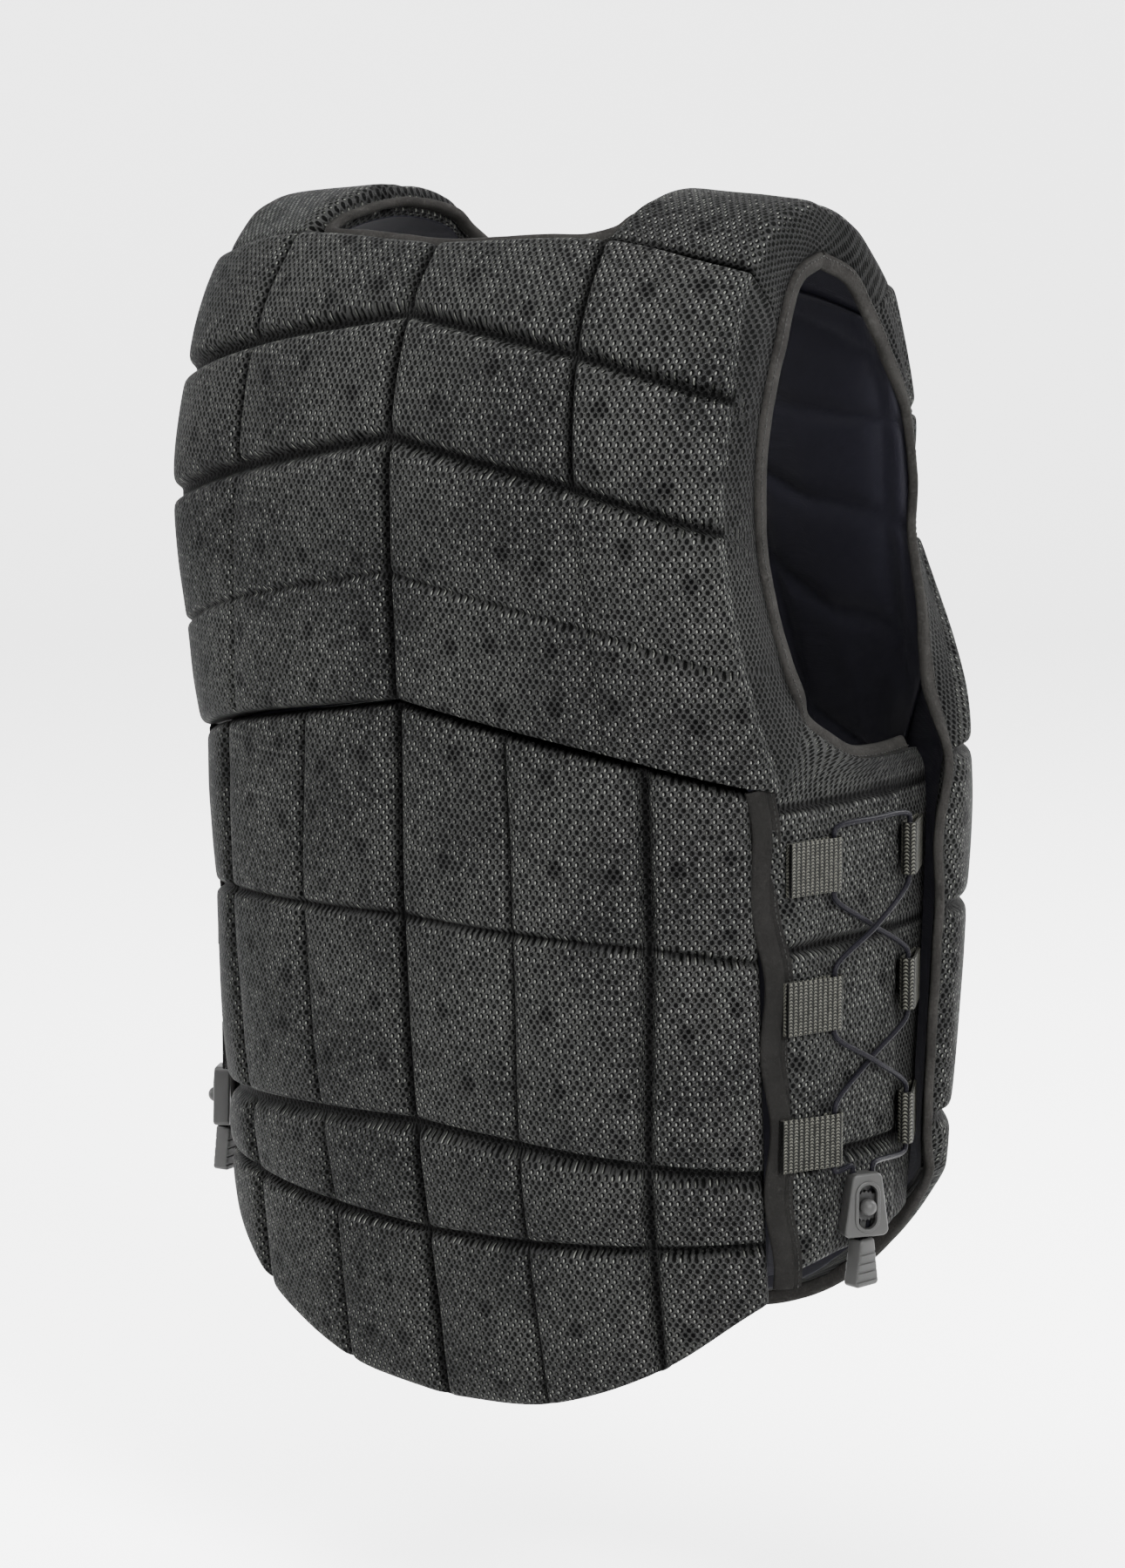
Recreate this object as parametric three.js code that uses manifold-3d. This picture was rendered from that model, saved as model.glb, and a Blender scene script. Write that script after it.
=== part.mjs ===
// Equestrian body protector: foam blocks under stretched mesh, laced at both sides.
// Millimetres, +Z up. The wearer faces -Y, so the back of the vest faces +Y and the
// wearer's right is -X. The origin is the seat of the shoulders, midway between them.
import * as THREE from 'three';
import { mergeVertices } from 'three/addons/utils/BufferGeometryUtils.js';
import Module from 'manifold-3d';

const wasm = await Module();
wasm.setup();

// Body outline
const backLength = 525; // tail hem on the spine up to the seat of the shoulders
const halfWidth = 176; // half the width at the waist, measured in the grooves
const planCentre = -36.5; // Y of the middle of the plan outline
const backReach = 136.5; // plan centre to the fullest point of the back
const frontReach = 131; // plan centre to the fullest point of the front
const outlinePower = 2.6; // roundness of the plan outline, 2 is an ellipse

// Padding
const foamThickness = 24; // back, shoulders and front, in the grooves
const wingThickness = 10; // side wings
const relief = 6; // how far a block stands above its groove
const wingRelief = 4.5;
const padRelief = 3;
const grooveWidth = 9;
const edgeBevel = 7; // width of the rounded shoulder of a block at a free edge
const yokeStep = 3; // the lower back is set in this far under the yoke
const wingInset = 8; // the wing is set in this far from the body outline
const seamGap = 6.5; // between the lower back and the wing, under the side tape
const wingBlend = 35; // length over which the wing comes in to its inset
const neckThickness = 13; // foam left at the neck edge
const sideEdgeThickness = 5.5; // the front's side edge, where it laps over the wing
const liningThickness = 1.5;
const liningGap = 0.9;
const fit = 0.4; // space between pieces that touch
const roundSides = 6; // sides of a binding's section

// Trim
const bindingRadius = 3.1;
const bindingOff = bindingRadius + 2.8 * fit; // middle of a binding off the edge it covers
const bindingSteps = { armhole: 26, front: 44, neck: 36 };
const tapeWidth = 10;
const tapeThickness = 1.6;
const tapeLift = 2; // the tape lies this high over the seam
const tapeSteps = 13;
const zipWidth = 13;
const zipThickness = 4;
const zipSteps = 7;

// Lacing
const webbingWidth = 24; // height of a loop
const webbingThickness = 1.3;
const loopPitch = 62;
const lowestLoop = 134; // middle of the lowest loop above the tail hem
const laceDiameter = 2.5;
const laceLift = 0.9; // the loops' folds stand this far off the blocks
const laceSteps = 72;
const laceSides = 8;
const eyeRadius = laceDiameter / 2 + 1; // inside of a loop's fold
const loopLift = wingRelief + fit + webbingThickness + eyeRadius;
const foldSteps = 5;
const webbingSlit = 0.7; // between the two layers of a loop at its foot
// Where the loops leave the side tape and fold, and fold and tuck in at the front, as depths
const loopDepths = { backBase: 0.458, backFold: 0.304, frontFold: -0.095, frontBase: -0.263 };

// Cord lock and grip
const lockHeight = 29;
const lockTopWidth = 15;
const lockFootWidth = 21.5;
const lockDepth = 8.4;
const lockCorner = 3;
const lockTwist = THREE.MathUtils.degToRad(30); // turned back from square with the side
const lockBottom = 88; // above the tail hem
// Middle of each lock, out from halfWidth, and its depth. The left one hangs further out.
const lockPlaces = { right: { out: 6, depth: 0.201 }, left: { out: 13, depth: 0.341 } };
const slotWidth = 8.6;
const slotHeight = 20;
const slotDrop = 0.6; // the slot's middle lies this far under the lock's middle
const wheelDiameter = 14;
const wheelThickness = 2.4;
const wheelTeeth = 20;
const toothDepth = 0.7;
const knobDiameter = 7.7;
const knobStandOut = 0.6; // middle of the knob in front of the lock's face
const wheelTravel = 5;
const wheelGap = 0.4; // room for the wheel in its pocket, all round
const lockWall = 1.3;
const lockBackWall = 0.9;
const lockBore = laceDiameter + 1;
const boreFlare = 0.35; // the bores open out towards the top
const boreSides = 8;
const lockBoreTop = 4.8; // half the space between the lace bores at the top
const lockBoreFoot = 2.1; // and at the foot
const gripHeight = 22;
const gripTopWidth = 9;
const gripFootWidth = 14.5;
const gripDepth = 8.6;
const gripTwist = THREE.MathUtils.degToRad(8);
const gripRibs = 3;
const gripRibDepth = 0.6;
const gripCorner = 2;
const gripGap = 1.2; // between the lock and the grip
const gripBack = 1; // the grip's middle lies this far behind the lock's
const gripHoleDepth = 5;
const gripHoleWidth = 2 * lockBoreFoot + laceDiameter + 2 * fit;

const meshCloth = { color: 0x2b2c2b, roughness: 0.85, metalness: 0 };
const liningCloth = { color: 0x1d1c24, roughness: 0.7, metalness: 0 };
const bindingCloth = { color: 0x4a4844, roughness: 0.8, metalness: 0 };
const webbing = { color: 0x3a3a30, roughness: 0.75, metalness: 0 };
const cordCloth = { color: 0x3a3942, roughness: 0.6, metalness: 0 };
const plastic = { color: 0x6e6e6a, roughness: 0.45, metalness: 0 };
const zipPlastic = { color: 0x202022, roughness: 0.5, metalness: 0 };

const group = new THREE.Group();

// Heights are shares of backLength above the tail hem, and widths shares of halfWidth. Depths
// are shares of backReach behind the plan's middle, or below zero of frontReach before it.
// Plan outline at each height: half-width, and reach to the back and to the front.
const outline = [
  { at: -0.02, half: 1.0, frontHalf: 1.028, back: 0.71, front: 0.6 },
  { at: 0.0, half: 1.0, frontHalf: 1.028, back: 0.722, front: 0.62 },
  { at: 0.15, half: 1.0, frontHalf: 1.028, back: 0.817, front: 0.7 },
  { at: 0.25, half: 0.99, frontHalf: 1.028, back: 0.883, front: 0.8 },
  { at: 0.434, half: 1.0, frontHalf: 1.028, back: 0.941, front: 0.955 },
  { at: 0.552, half: 1.034, frontHalf: 1.034, back: 0.96, front: 0.965 },
  { at: 0.657, half: 1.068, frontHalf: 1.045, back: 0.978, front: 0.84 },
  { at: 0.762, half: 1.08, frontHalf: 1.045, back: 1.0, front: 0.7 },
  { at: 0.857, half: 1.068, frontHalf: 1.045, back: 0.99, front: 0.61 },
  { at: 0.945, half: 1.057, frontHalf: 1.045, back: 0.897, front: 0.42 },
  { at: 1.02, half: 1.04, frontHalf: 1.04, back: 0.7, front: 0.2 },
];

// Seams of the yoke: heights and half-widths on the spine, the middle line and the ridge.
// full pushes the ridge back by a share of backReach, and edge is the inner edge of the
// armhole wall that starts at the ridge.
const yokeRows = [
  { z: [1.002, 1.008, 0.984], w: [0.5, 0.866], full: 0, edge: { w: 0.864, y: 0.414, z: 0.937 } },
  { z: [0.945, 0.916, 0.882], w: [0.523, 0.889], full: 0.03, edge: { w: 0.881, y: 0.546, z: 0.85 } },
  { z: [0.844, 0.808, 0.775], w: [0.545, 0.898], full: 0.07, edge: { w: 0.866, y: 0.516, z: 0.754 } },
  { z: [0.731, 0.693, 0.657], w: [0.58, 0.918], full: 0.03, edge: { w: 0.892, y: 0.429, z: 0.661 } },
  { z: [0.621, 0.588, 0.556], w: [0.602, 0.949], full: 0, edge: { w: 0.926, y: 0.37, z: 0.613 } },
];

// Seams of the lower back: heights on four lines, half-widths of the outer three.
const lowerRows = [
  { z: [0.619, 0.601, 0.579, 0.558], w: [0.33, 0.682, 0.893] },
  { z: [0.434, 0.43, 0.425, 0.413], w: [0.347, 0.688, 0.895] },
  { z: [0.25, 0.244, 0.236, 0.229], w: [0.33, 0.665, 0.893] },
  { z: [0.15, 0.154, 0.162, 0.168], w: [0.324, 0.659, 0.893] },
  { z: [-0.008, 0.005, 0.052, 0.115], w: [0.335, 0.659, 0.893] },
];

// Seams of one front panel, from the zip to the side; edge is the armhole's inner edge.
const frontRows = [
  { z: [0.895, 0.918, 0.996, 0.964], w: [0.261, 0.5, 0.841], edge: { w: 0.847, y: -0.126, z: 0.946 } },
  { z: [0.838, 0.842, 0.85, 0.857], w: [0.284, 0.534, 0.812], edge: { w: 0.821, y: -0.378, z: 0.859 } },
  { z: [0.733, 0.735, 0.739, 0.747], w: [0.307, 0.557, 0.773], edge: { w: 0.801, y: -0.431, z: 0.747 } },
  { z: [0.571, 0.571, 0.569, 0.566], w: [0.341, 0.67, 0.989] },
  { z: [0.43, 0.43, 0.43, 0.43], w: [0.352, 0.693, 1.0] },
  { z: [0.248, 0.248, 0.248, 0.248], w: [0.352, 0.693, 1.0] },
  { z: [0.023, 0.034, 0.086, 0.196], w: [0.341, 0.67, 0.977] },
];

// Lines of one side wing, from the back seam forwards, and the heights of its rows on them.
// A row with no first depth starts at the seam with the lower back, and lean is the share
// of the wing's thickness by which its top leans in.
const wingRows = [
  { z: [0.613, 0.586, 0.571, 0.568, 0.568], y: [0.348, 0.194, 0.048, -0.118, -0.363], lean: 0.5 },
  { z: [0.54, 0.54, 0.54, 0.54, 0.54], y: [null, 0.326, 0.121, -0.118, -0.363], lean: 0 },
  { z: [0.42, 0.42, 0.42, 0.42, 0.42], y: [null, 0.326, 0.121, -0.118, -0.363], lean: 0 },
  { z: [0.238, 0.238, 0.238, 0.238, 0.238], y: [null, 0.326, 0.121, -0.118, -0.324], lean: 0 },
  { z: [0.139, 0.145, 0.15, 0.158, 0.165], y: [null, 0.326, 0.121, -0.118, -0.279], lean: 0 },
];

const seamHalf = 0.893; // the seam between the lower back and the wings
const wingTop = heightOf(0.5); // the wing keeps its outline of this height further up

// Crest of a shoulder pad between the yoke and the front: neck side, outer side, inner edge.
const crestRows = [
  { neck: [0.49, 0.487, 1.035], side: [0.864, 0.414, 1.022], edge: [0.858, 0.326, 0.98] },
  { neck: [0.48, 0.231, 1.046], side: [0.873, 0.223, 1.035], edge: [0.852, 0.179, 0.998] },
  { neck: [0.485, -0.042, 1.034], side: [0.864, -0.042, 1.01], edge: [0.852, -0.011, 0.982] },
];

function heightOf(share) {
  return (share - 1) * backLength;
}

function depthOf(share) {
  return planCentre + share * (share > 0 ? backReach : frontReach);
}

// Value of a table column at a height, on a smooth curve through the rows.
function column(table, name, z) {
  const share = z / backLength + 1;
  let i = 0;
  while (i < table.length - 2 && share > table[i + 1].at) i += 1;
  const t = THREE.MathUtils.clamp((share - table[i].at) / (table[i + 1].at - table[i].at), 0, 1);
  const slope = (j) => {
    const a = table[Math.max(j - 1, 0)];
    const b = table[Math.min(j + 1, table.length - 1)];
    return (b[name] - a[name]) / (b.at - a.at);
  };
  const span = table[i + 1].at - table[i].at;
  const [t2, t3] = [t * t, t * t * t];
  return (2 * t3 - 3 * t2 + 1) * table[i][name] + (t3 - 2 * t2 + t) * span * slope(i)
    + (3 * t2 - 2 * t3) * table[i + 1][name] + (t3 - t2) * span * slope(i + 1);
}

// Reach of the body outline from its middle; side is 1 at the back, -1 in front.
function outlineReach(z, side) {
  return side > 0 ? backReach * column(outline, 'back', z) : frontReach * column(outline, 'front', z);
}

// Y of the body outline at half-width w and height z.
function outlineY(w, z, side) {
  const half = halfWidth * column(outline, side > 0 ? 'half' : 'frontHalf', z);
  const reach = outlineReach(z, side);
  const left = 1 - Math.min(w / half, 1) ** outlinePower;
  return planCentre + side * reach * left ** (1 / outlinePower);
}

// Half-width of the body outline at depth y and height z.
function outlineHalf(y, z) {
  const reach = outlineReach(z, y > planCentre ? 1 : -1);
  const left = 1 - Math.min(Math.abs(y - planCentre) / reach, 1) ** outlinePower;
  return halfWidth * left ** (1 / outlinePower);
}

// Point between the numbers of a list at a fractional index.
function between(list, at) {
  const i = THREE.MathUtils.clamp(Math.floor(at), 0, list.length - 2);
  return list[i] + (list[i + 1] - list[i]) * (at - i);
}

// Fractional row and column of a seam table, read with one function for each cell.
function onTable(rows, r, read) {
  const i = THREE.MathUtils.clamp(Math.floor(r), 0, rows.length - 2);
  return THREE.MathUtils.lerp(read(rows[i]), read(rows[i + 1]), r - i);
}

// A panel's lines: each seam with its two groove sides, block middles, and beveled free edges.
function gridLines(count, length, bevels, middles) {
  const lines = [{ at: 0, up: 0 }];
  for (let i = 0; i < count; i += 1) {
    const size = length(i);
    const first = (i === 0 ? bevels[0] : grooveWidth / 2) / size;
    const last = (i === count - 1 ? bevels[1] : grooveWidth / 2) / size;
    if (first > 0) lines.push({ at: i + first, up: 1 });
    for (let m = 1; m <= middles[i]; m += 1) lines.push({ at: i + m / (middles[i] + 1), up: 1 });
    if (last > 0) lines.push({ at: i + 1 - last, up: 1 });
    lines.push({ at: i + 1, up: 0 });
  }
  return lines;
}

// Outward normal of a surface given as place(c, r), worked out from its neighbours.
function normalAt(place, c, r) {
  const step = 0.02;
  const across = place(c + step, r).sub(place(c - step, r));
  const down = place(c, r + step).sub(place(c, r - step));
  return down.cross(across).normalize();
}

// Closed shell from two grids of points, outer[i][j] and inner[i][j]. turned says that the
// grid runs the other way round seen from outside.
function shell(outer, inner, mirrored, turned = false) {
  const [m, n] = [outer.length, outer[0].length];
  const points = [...outer.flat(), ...inner.flat()];
  const id = (side, i, j) => side * m * n + i * n + j;
  const faces = [];
  const quad = (a, b, c, d) => (turned ? faces.push(a, b, c, a, c, d) : faces.push(a, c, b, a, d, c));
  for (let i = 0; i < m - 1; i += 1) {
    for (let j = 0; j < n - 1; j += 1) {
      quad(id(0, i, j), id(0, i + 1, j), id(0, i + 1, j + 1), id(0, i, j + 1));
      quad(id(1, i, j), id(1, i, j + 1), id(1, i + 1, j + 1), id(1, i + 1, j));
    }
  }
  for (let i = 0; i < m - 1; i += 1) {
    quad(id(0, i, 0), id(1, i, 0), id(1, i + 1, 0), id(0, i + 1, 0));
    quad(id(0, i, n - 1), id(0, i + 1, n - 1), id(1, i + 1, n - 1), id(1, i, n - 1));
  }
  for (let j = 0; j < n - 1; j += 1) {
    quad(id(0, 0, j), id(0, 0, j + 1), id(1, 0, j + 1), id(1, 0, j));
    quad(id(0, m - 1, j), id(1, m - 1, j), id(1, m - 1, j + 1), id(0, m - 1, j + 1));
  }
  return meshData(points, faces, mirrored);
}

// Geometry from points and faces; a mirrored copy has its faces turned round.
function meshData(points, faces, mirrored) {
  const flat = points.flatMap((p) => [mirrored ? -p.x : p.x, p.y, p.z]);
  const turned = mirrored ? faces.map((f, i) => faces[i - (i % 3) + [0, 2, 1][i % 3]]) : faces;
  const geometry = new THREE.BufferGeometry();
  geometry.setAttribute('position', new THREE.Float32BufferAttribute(flat, 3));
  geometry.setIndex(turned);
  return geometry;
}

function add(name, geometry, look) {
  geometry.computeVertexNormals();
  const mesh = new THREE.Mesh(geometry, new THREE.MeshStandardMaterial(look));
  mesh.name = name;
  group.add(mesh);
  return mesh;
}

// Padded panel: place(c, r) is the groove surface, inside(c, r) the body side.
function paddedPanel(columns, rows, place, inside, height, mirrored = false, turned = false) {
  const outer = columns.map((c) => rows.map((r) => {
    const up = (turned ? -1 : 1) * c.up * r.up * height(c.at, r.at);
    return place(c.at, r.at).addScaledVector(normalAt(place, c.at, r.at), up);
  }));
  const inner = columns.map((c) => rows.map((r) => inside(c.at, r.at)));
  return shell(outer, inner, mirrored, turned);
}

// The right half lies at -X, so a half-width w stands at x = -w there.
function spot(w, y, z) {
  return new THREE.Vector3(-w, y, z);
}

// Yoke: c runs from the spine (0) over the middle line (1) to the ridge (2).
function yokePlace(c, r) {
  const side = Math.abs(c);
  const w = onTable(yokeRows, r, (row) => between([0, ...row.w], side)) * halfWidth;
  const z = heightOf(onTable(yokeRows, r, (row) => between(row.z, side)));
  const full = onTable(yokeRows, r, (row) => row.full) * backReach * Math.max(side - 1, 0);
  const p = spot(w, outlineY(w, z, 1) + full, z);
  if (c < 0) p.x = -p.x;
  return p;
}

function edgeOf(rows, r) {
  const w = onTable(rows, r, (row) => row.edge.w) * halfWidth;
  const z = heightOf(onTable(rows, r, (row) => row.edge.z));
  return spot(w, onTable(rows, r, (row) => depthOf(row.edge.y)), z);
}

function yokeInside(c, r) {
  const side = Math.abs(c);
  const thin = THREE.MathUtils.lerp(neckThickness, foamThickness, Math.min(r, 1));
  const thickness = side < 1 ? thin : THREE.MathUtils.lerp(thin, foamThickness, side - 1);
  const p = yokePlace(side, r).addScaledVector(normalAt(yokePlace, side, r), -thickness);
  if (side > 1) p.lerp(edgeOf(yokeRows, r), side - 1);
  if (c < 0) p.x = -p.x;
  return p;
}

// Lower back: c runs from the spine (0) to the side tape (3).
function lowerPlace(c, r) {
  const side = Math.abs(c);
  const w = onTable(lowerRows, r, (row) => between([0, ...row.w], side)) * halfWidth;
  const z = heightOf(onTable(lowerRows, r, (row) => between(row.z, side)));
  const setIn = yokeStep * Math.max(1 - r, 0);
  const p = spot(w, outlineY(w, z, 1) - setIn, z);
  if (c < 0) p.x = -p.x;
  return p;
}

function lowerInside(c, r) {
  return lowerPlace(c, r).addScaledVector(normalAt(lowerPlace, c, r), -foamThickness);
}

// One front panel: c runs from the zip (0) to the armhole or side edge (3).
function frontPlace(c, r) {
  const w0 = zipWidth / 2 + fit;
  const w = onTable(frontRows, r, (row) => between([w0, ...row.w.map((s) => s * halfWidth)], c));
  const z = heightOf(onTable(frontRows, r, (row) => between(row.z, c)));
  return spot(w, outlineY(w, z, -1), z);
}

function frontNormal(c, r) {
  return normalAt(frontPlace, c, r).negate();
}

function frontDepth(c, r) {
  const armhole = frontRows.filter((row) => row.edge).length;
  const neck = THREE.MathUtils.lerp(neckThickness, foamThickness, Math.min(r, 1));
  const toSide = Math.max(c - 2, 0);
  const below = THREE.MathUtils.clamp(r - armhole + 1, 0, 1);
  const thickness = THREE.MathUtils.lerp(neck, sideEdgeThickness, toSide * below);
  const p = frontPlace(c, r).addScaledVector(frontNormal(c, r), -thickness);
  if (toSide > 0 && below < 1) {
    const edge = edgeOf(frontRows.slice(0, armhole), Math.min(r, armhole - 1));
    p.lerp(edge, toSide * (1 - below));
  }
  return p;
}

function seamY(z) {
  return outlineY(seamHalf * halfWidth, z, 1) - seamGap;
}

function wingSetIn(y, z) {
  return wingInset * THREE.MathUtils.smoothstep(seamY(Math.min(z, wingTop)) - y, 0, wingBlend);
}

// One side wing: c runs from the back seam (0) forwards to under the front panel (4).
function wingPlace(c, r) {
  const y = onTable(wingRows, r, (row) => {
    const first = row.y[0] === null ? seamY(heightOf(row.z[0])) : depthOf(row.y[0]);
    return between([first, ...row.y.slice(1).map(depthOf)], c);
  });
  const z = heightOf(onTable(wingRows, r, (row) => between(row.z, c)));
  const lean = onTable(wingRows, r, (row) => row.lean) * wingThickness;
  return spot(outlineHalf(y, Math.min(z, wingTop)) - wingSetIn(y, z) - lean, y, z);
}

function wingNormal(c, r) {
  return normalAt(wingPlace, c, r);
}

function wingInside(c, r) {
  return wingPlace(c, r).addScaledVector(wingNormal(c, r), -wingThickness);
}

// Shoulder pad: r runs from the yoke over the crest to the front, c from neck to armhole.
function shoulderRows() {
  const lift = (p, d) => p.clone().add(d);
  const gapUp = new THREE.Vector3(0, 0, 2 * fit);
  const pick = ([w, y, z]) => spot(w * halfWidth, depthOf(y), heightOf(z));
  const back = {
    neck: lift(yokePlace(1, 0), gapUp),
    side: lift(yokePlace(2, 0), gapUp),
    edge: lift(yokeInside(2, 0), gapUp),
    neckInside: lift(yokeInside(1, 0), gapUp),
  };
  const front = {
    neck: lift(frontPlace(2, 0), gapUp),
    side: lift(frontPlace(3, 0), gapUp),
    edge: lift(frontInside(3, 0), gapUp),
    neckInside: lift(frontInside(2, 0), gapUp),
  };
  const crest = crestRows.map((row) => ({
    neck: pick(row.neck),
    side: pick(row.side),
    edge: pick(row.edge),
    neckInside: pick(row.neck).add(new THREE.Vector3(0, 0, -neckThickness)),
  }));
  return [back, ...crest, front];
}

const padRows = shoulderRows();
const padCurves = {};
for (const line of ['neck', 'side', 'edge', 'neckInside']) {
  padCurves[line] = new THREE.CatmullRomCurve3(padRows.map((row) => row[line]), false, 'centripetal');
}

function padPoint(line, r) {
  const last = padRows.length - 1;
  const t = THREE.MathUtils.clamp(r, 0, last) / last;
  const p = padCurves[line].getPoint(t);
  if (r < 0 || r > last) p.addScaledVector(padCurves[line].getTangent(t), (r - t * last) * foamThickness);
  return p;
}

function padPlace(c, r) {
  return padPoint('neck', r).lerp(padPoint('side', r), c);
}

function padInside(c, r) {
  return padPoint('neckInside', r).lerp(padPoint('edge', r), c);
}

// Length between two seams, for turning groove widths into shares of a block.
function seamLength(place, alongRows, other) {
  return (i) => (alongRows ? place(other, i).distanceTo(place(other, i + 1))
    : place(i, other).distanceTo(place(i + 1, other)));
}

function buildBack() {
  const yokeHalf = gridLines(2, seamLength(yokePlace, false, 2), [grooveWidth / 2, edgeBevel], [1, 1]);
  const yokeColumns = [...yokeHalf.slice(1).reverse().map((l) => ({ at: -l.at, up: l.up })), ...yokeHalf];
  const yokeLines = gridLines(4, seamLength(yokePlace, true, 1), [edgeBevel, edgeBevel], [0, 1, 0, 0]);
  add('back_yoke', paddedPanel(yokeColumns, yokeLines, yokePlace, yokeInside, () => relief), meshCloth);

  const lowerHalf = gridLines(3, seamLength(lowerPlace, false, 1), [grooveWidth / 2, edgeBevel], [0, 0, 0]);
  const lowerColumns = [...lowerHalf.slice(1).reverse().map((l) => ({ at: -l.at, up: l.up })), ...lowerHalf];
  const lowerLines = gridLines(4, seamLength(lowerPlace, true, 1), [edgeBevel, edgeBevel], [0, 0, 0, 1]);
  add('back_lower', paddedPanel(lowerColumns, lowerLines, lowerPlace, lowerInside, () => relief), meshCloth);
}

function buildFront(side, mirrored) {
  const columns = gridLines(3, seamLength(frontPlace, false, 4), [grooveWidth / 2, edgeBevel], [0, 0, 1]);
  const rows = gridLines(6, seamLength(frontPlace, true, 1), [edgeBevel, edgeBevel], [0, 0, 1, 0, 0, 1]);
  const geometry = paddedPanel(columns, rows, frontPlace, frontInside, () => relief, mirrored, true);
  add(`front_panel_${side}`, geometry, meshCloth);
}

// Body side of the front: flat facets between its seams, which the lining follows.
function frontInside(c, r) {
  const columns = [0, 1, 2, 2.5, 3];
  const rows = frontRows.map((_, i) => i);
  const cell = (list, at) => Math.max(list.findIndex((v, i) => i > 0 && at <= v + 1e-9), 1);
  const [i, j] = [cell(columns, c), cell(rows, r)];
  const s = (c - columns[i - 1]) / (columns[i] - columns[i - 1]);
  const t = (r - rows[j - 1]) / (rows[j] - rows[j - 1]);
  const line = (row) => frontDepth(columns[i - 1], row).lerp(frontDepth(columns[i], row), s);
  return line(rows[j - 1]).lerp(line(rows[j]), t);
}

// Lining of the front, which shows through the armholes: it stops short of the side lap.
function buildLining(side, mirrored) {
  const sheet = (depth) => (c, r) => {
    const inward = frontInside(c, r).sub(frontPlace(c, r)).normalize();
    return frontInside(c, r).addScaledVector(inward, depth);
  };
  const columns = [0.06, 1, 1.5, 2, 2.3];
  const rows = [0.3, 0.65, 1, 2, 3, 4, 5, 5.92];
  const grid = (depth) => columns.map((c) => rows.map((r) => sheet(depth)(c, r)));
  const geometry = shell(grid(liningGap), grid(liningGap + liningThickness), mirrored, true);
  add(`front_lining_${side}`, geometry, liningCloth);
}

function buildWing(side, mirrored) {
  const columns = [
    { at: 0, up: 0 }, { at: 0.25, up: 1 }, { at: 1, up: 1 }, { at: 2, up: 1 }, { at: 2.8, up: 1 },
    { at: 3, up: 0 }, { at: 4, up: 0 },
  ];
  const rows = gridLines(4, seamLength(wingPlace, true, 1), [0, grooveWidth / 2], [0, 0, 0, 0]);
  const height = (c, r) => (r < 1 ? 0 : wingRelief);
  add(`side_wing_${side}`, paddedPanel(columns, rows, wingPlace, wingInside, height, mirrored), meshCloth);
}

function buildShoulder(side, mirrored) {
  const columns = [
    { at: 0, up: 0 }, { at: 0.11, up: 1 }, { at: 0.5, up: 1 }, { at: 0.89, up: 1 }, { at: 1, up: 0 },
  ];
  const rows = [
    { at: 0, up: 0 }, { at: 0.3, up: 1 }, { at: 1, up: 1 }, { at: 2.05, up: 1 }, { at: 2.2, up: 0 },
    { at: 2.35, up: 1 }, { at: 3, up: 1 }, { at: 3.75, up: 1 }, { at: 4, up: 0 },
  ];
  const geometry = paddedPanel(columns, rows, padPlace, padInside, () => padRelief, mirrored, true);
  add(`shoulder_pad_${side}`, geometry, meshCloth);
}

// Sweep of a closed section along points; up gives the section's second axis at each point.
function sweep(points, ups, section, closed, mirrored) {
  const n = points.length;
  const rings = points.map((p, i) => {
    const ahead = points[closed ? (i + 1) % n : Math.min(i + 1, n - 1)];
    const behind = points[closed ? (i + n - 1) % n : Math.max(i - 1, 0)];
    const along = ahead.clone().sub(behind).normalize();
    const across = along.clone().cross(ups[i]).normalize();
    const up = across.clone().cross(along);
    return section.map(([a, b]) => p.clone().addScaledVector(across, a).addScaledVector(up, b));
  });
  const k = section.length;
  const faces = [];
  const last = closed ? n : n - 1;
  for (let i = 0; i < last; i += 1) {
    for (let j = 0; j < k; j += 1) {
      const [a, b] = [i * k + j, i * k + ((j + 1) % k)];
      const [c, d] = [((i + 1) % n) * k + ((j + 1) % k), ((i + 1) % n) * k + j];
      faces.push(a, c, b, a, d, c);
    }
  }
  if (!closed) {
    for (let j = 1; j < k - 1; j += 1) {
      faces.push(0, j, j + 1);
      faces.push((n - 1) * k, (n - 1) * k + j + 1, (n - 1) * k + j);
    }
  }
  return meshData(rings.flat(), faces, mirrored);
}

function roundSection(radius, sides) {
  return Array.from({ length: sides }, (_, i) => {
    const t = ((i + 0.5) / sides) * Math.PI * 2;
    return [radius * Math.cos(t), radius * Math.sin(t)];
  });
}

function flatSection(width, thickness) {
  const [a, b] = [width / 2, thickness / 2];
  return [[-a, -b], [a, -b], [a, b], [-a, b]];
}

// Even points on a smooth curve through the given ones.
function along(points, steps, closed = false) {
  const curve = new THREE.CatmullRomCurve3(points, closed, 'centripetal');
  const even = curve.getSpacedPoints(steps);
  if (closed) even.pop();
  return even;
}

// A binding stands off the edge it covers, away from the padding at from.
function offEdge(edge, from, distance = bindingOff) {
  return edge.clone().addScaledVector(edge.clone().sub(from).normalize(), distance);
}

// Point off a panel's rim, square to the rim: inward steps into the panel, rim along it.
function offRim(place, [c, r], inward, rim, distance = bindingOff) {
  const at = place(c, r);
  const tangent = place(c + rim[0], r + rim[1]).sub(place(c - rim[0], r - rim[1])).normalize();
  const out = at.clone().sub(place(c + inward[0], r + inward[1]));
  out.addScaledVector(tangent, -out.dot(tangent)).normalize();
  return at.addScaledVector(out, distance);
}

function middleOf(place, inside) {
  return (c, r) => place(c, r).lerp(inside(c, r), 0.5);
}

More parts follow.
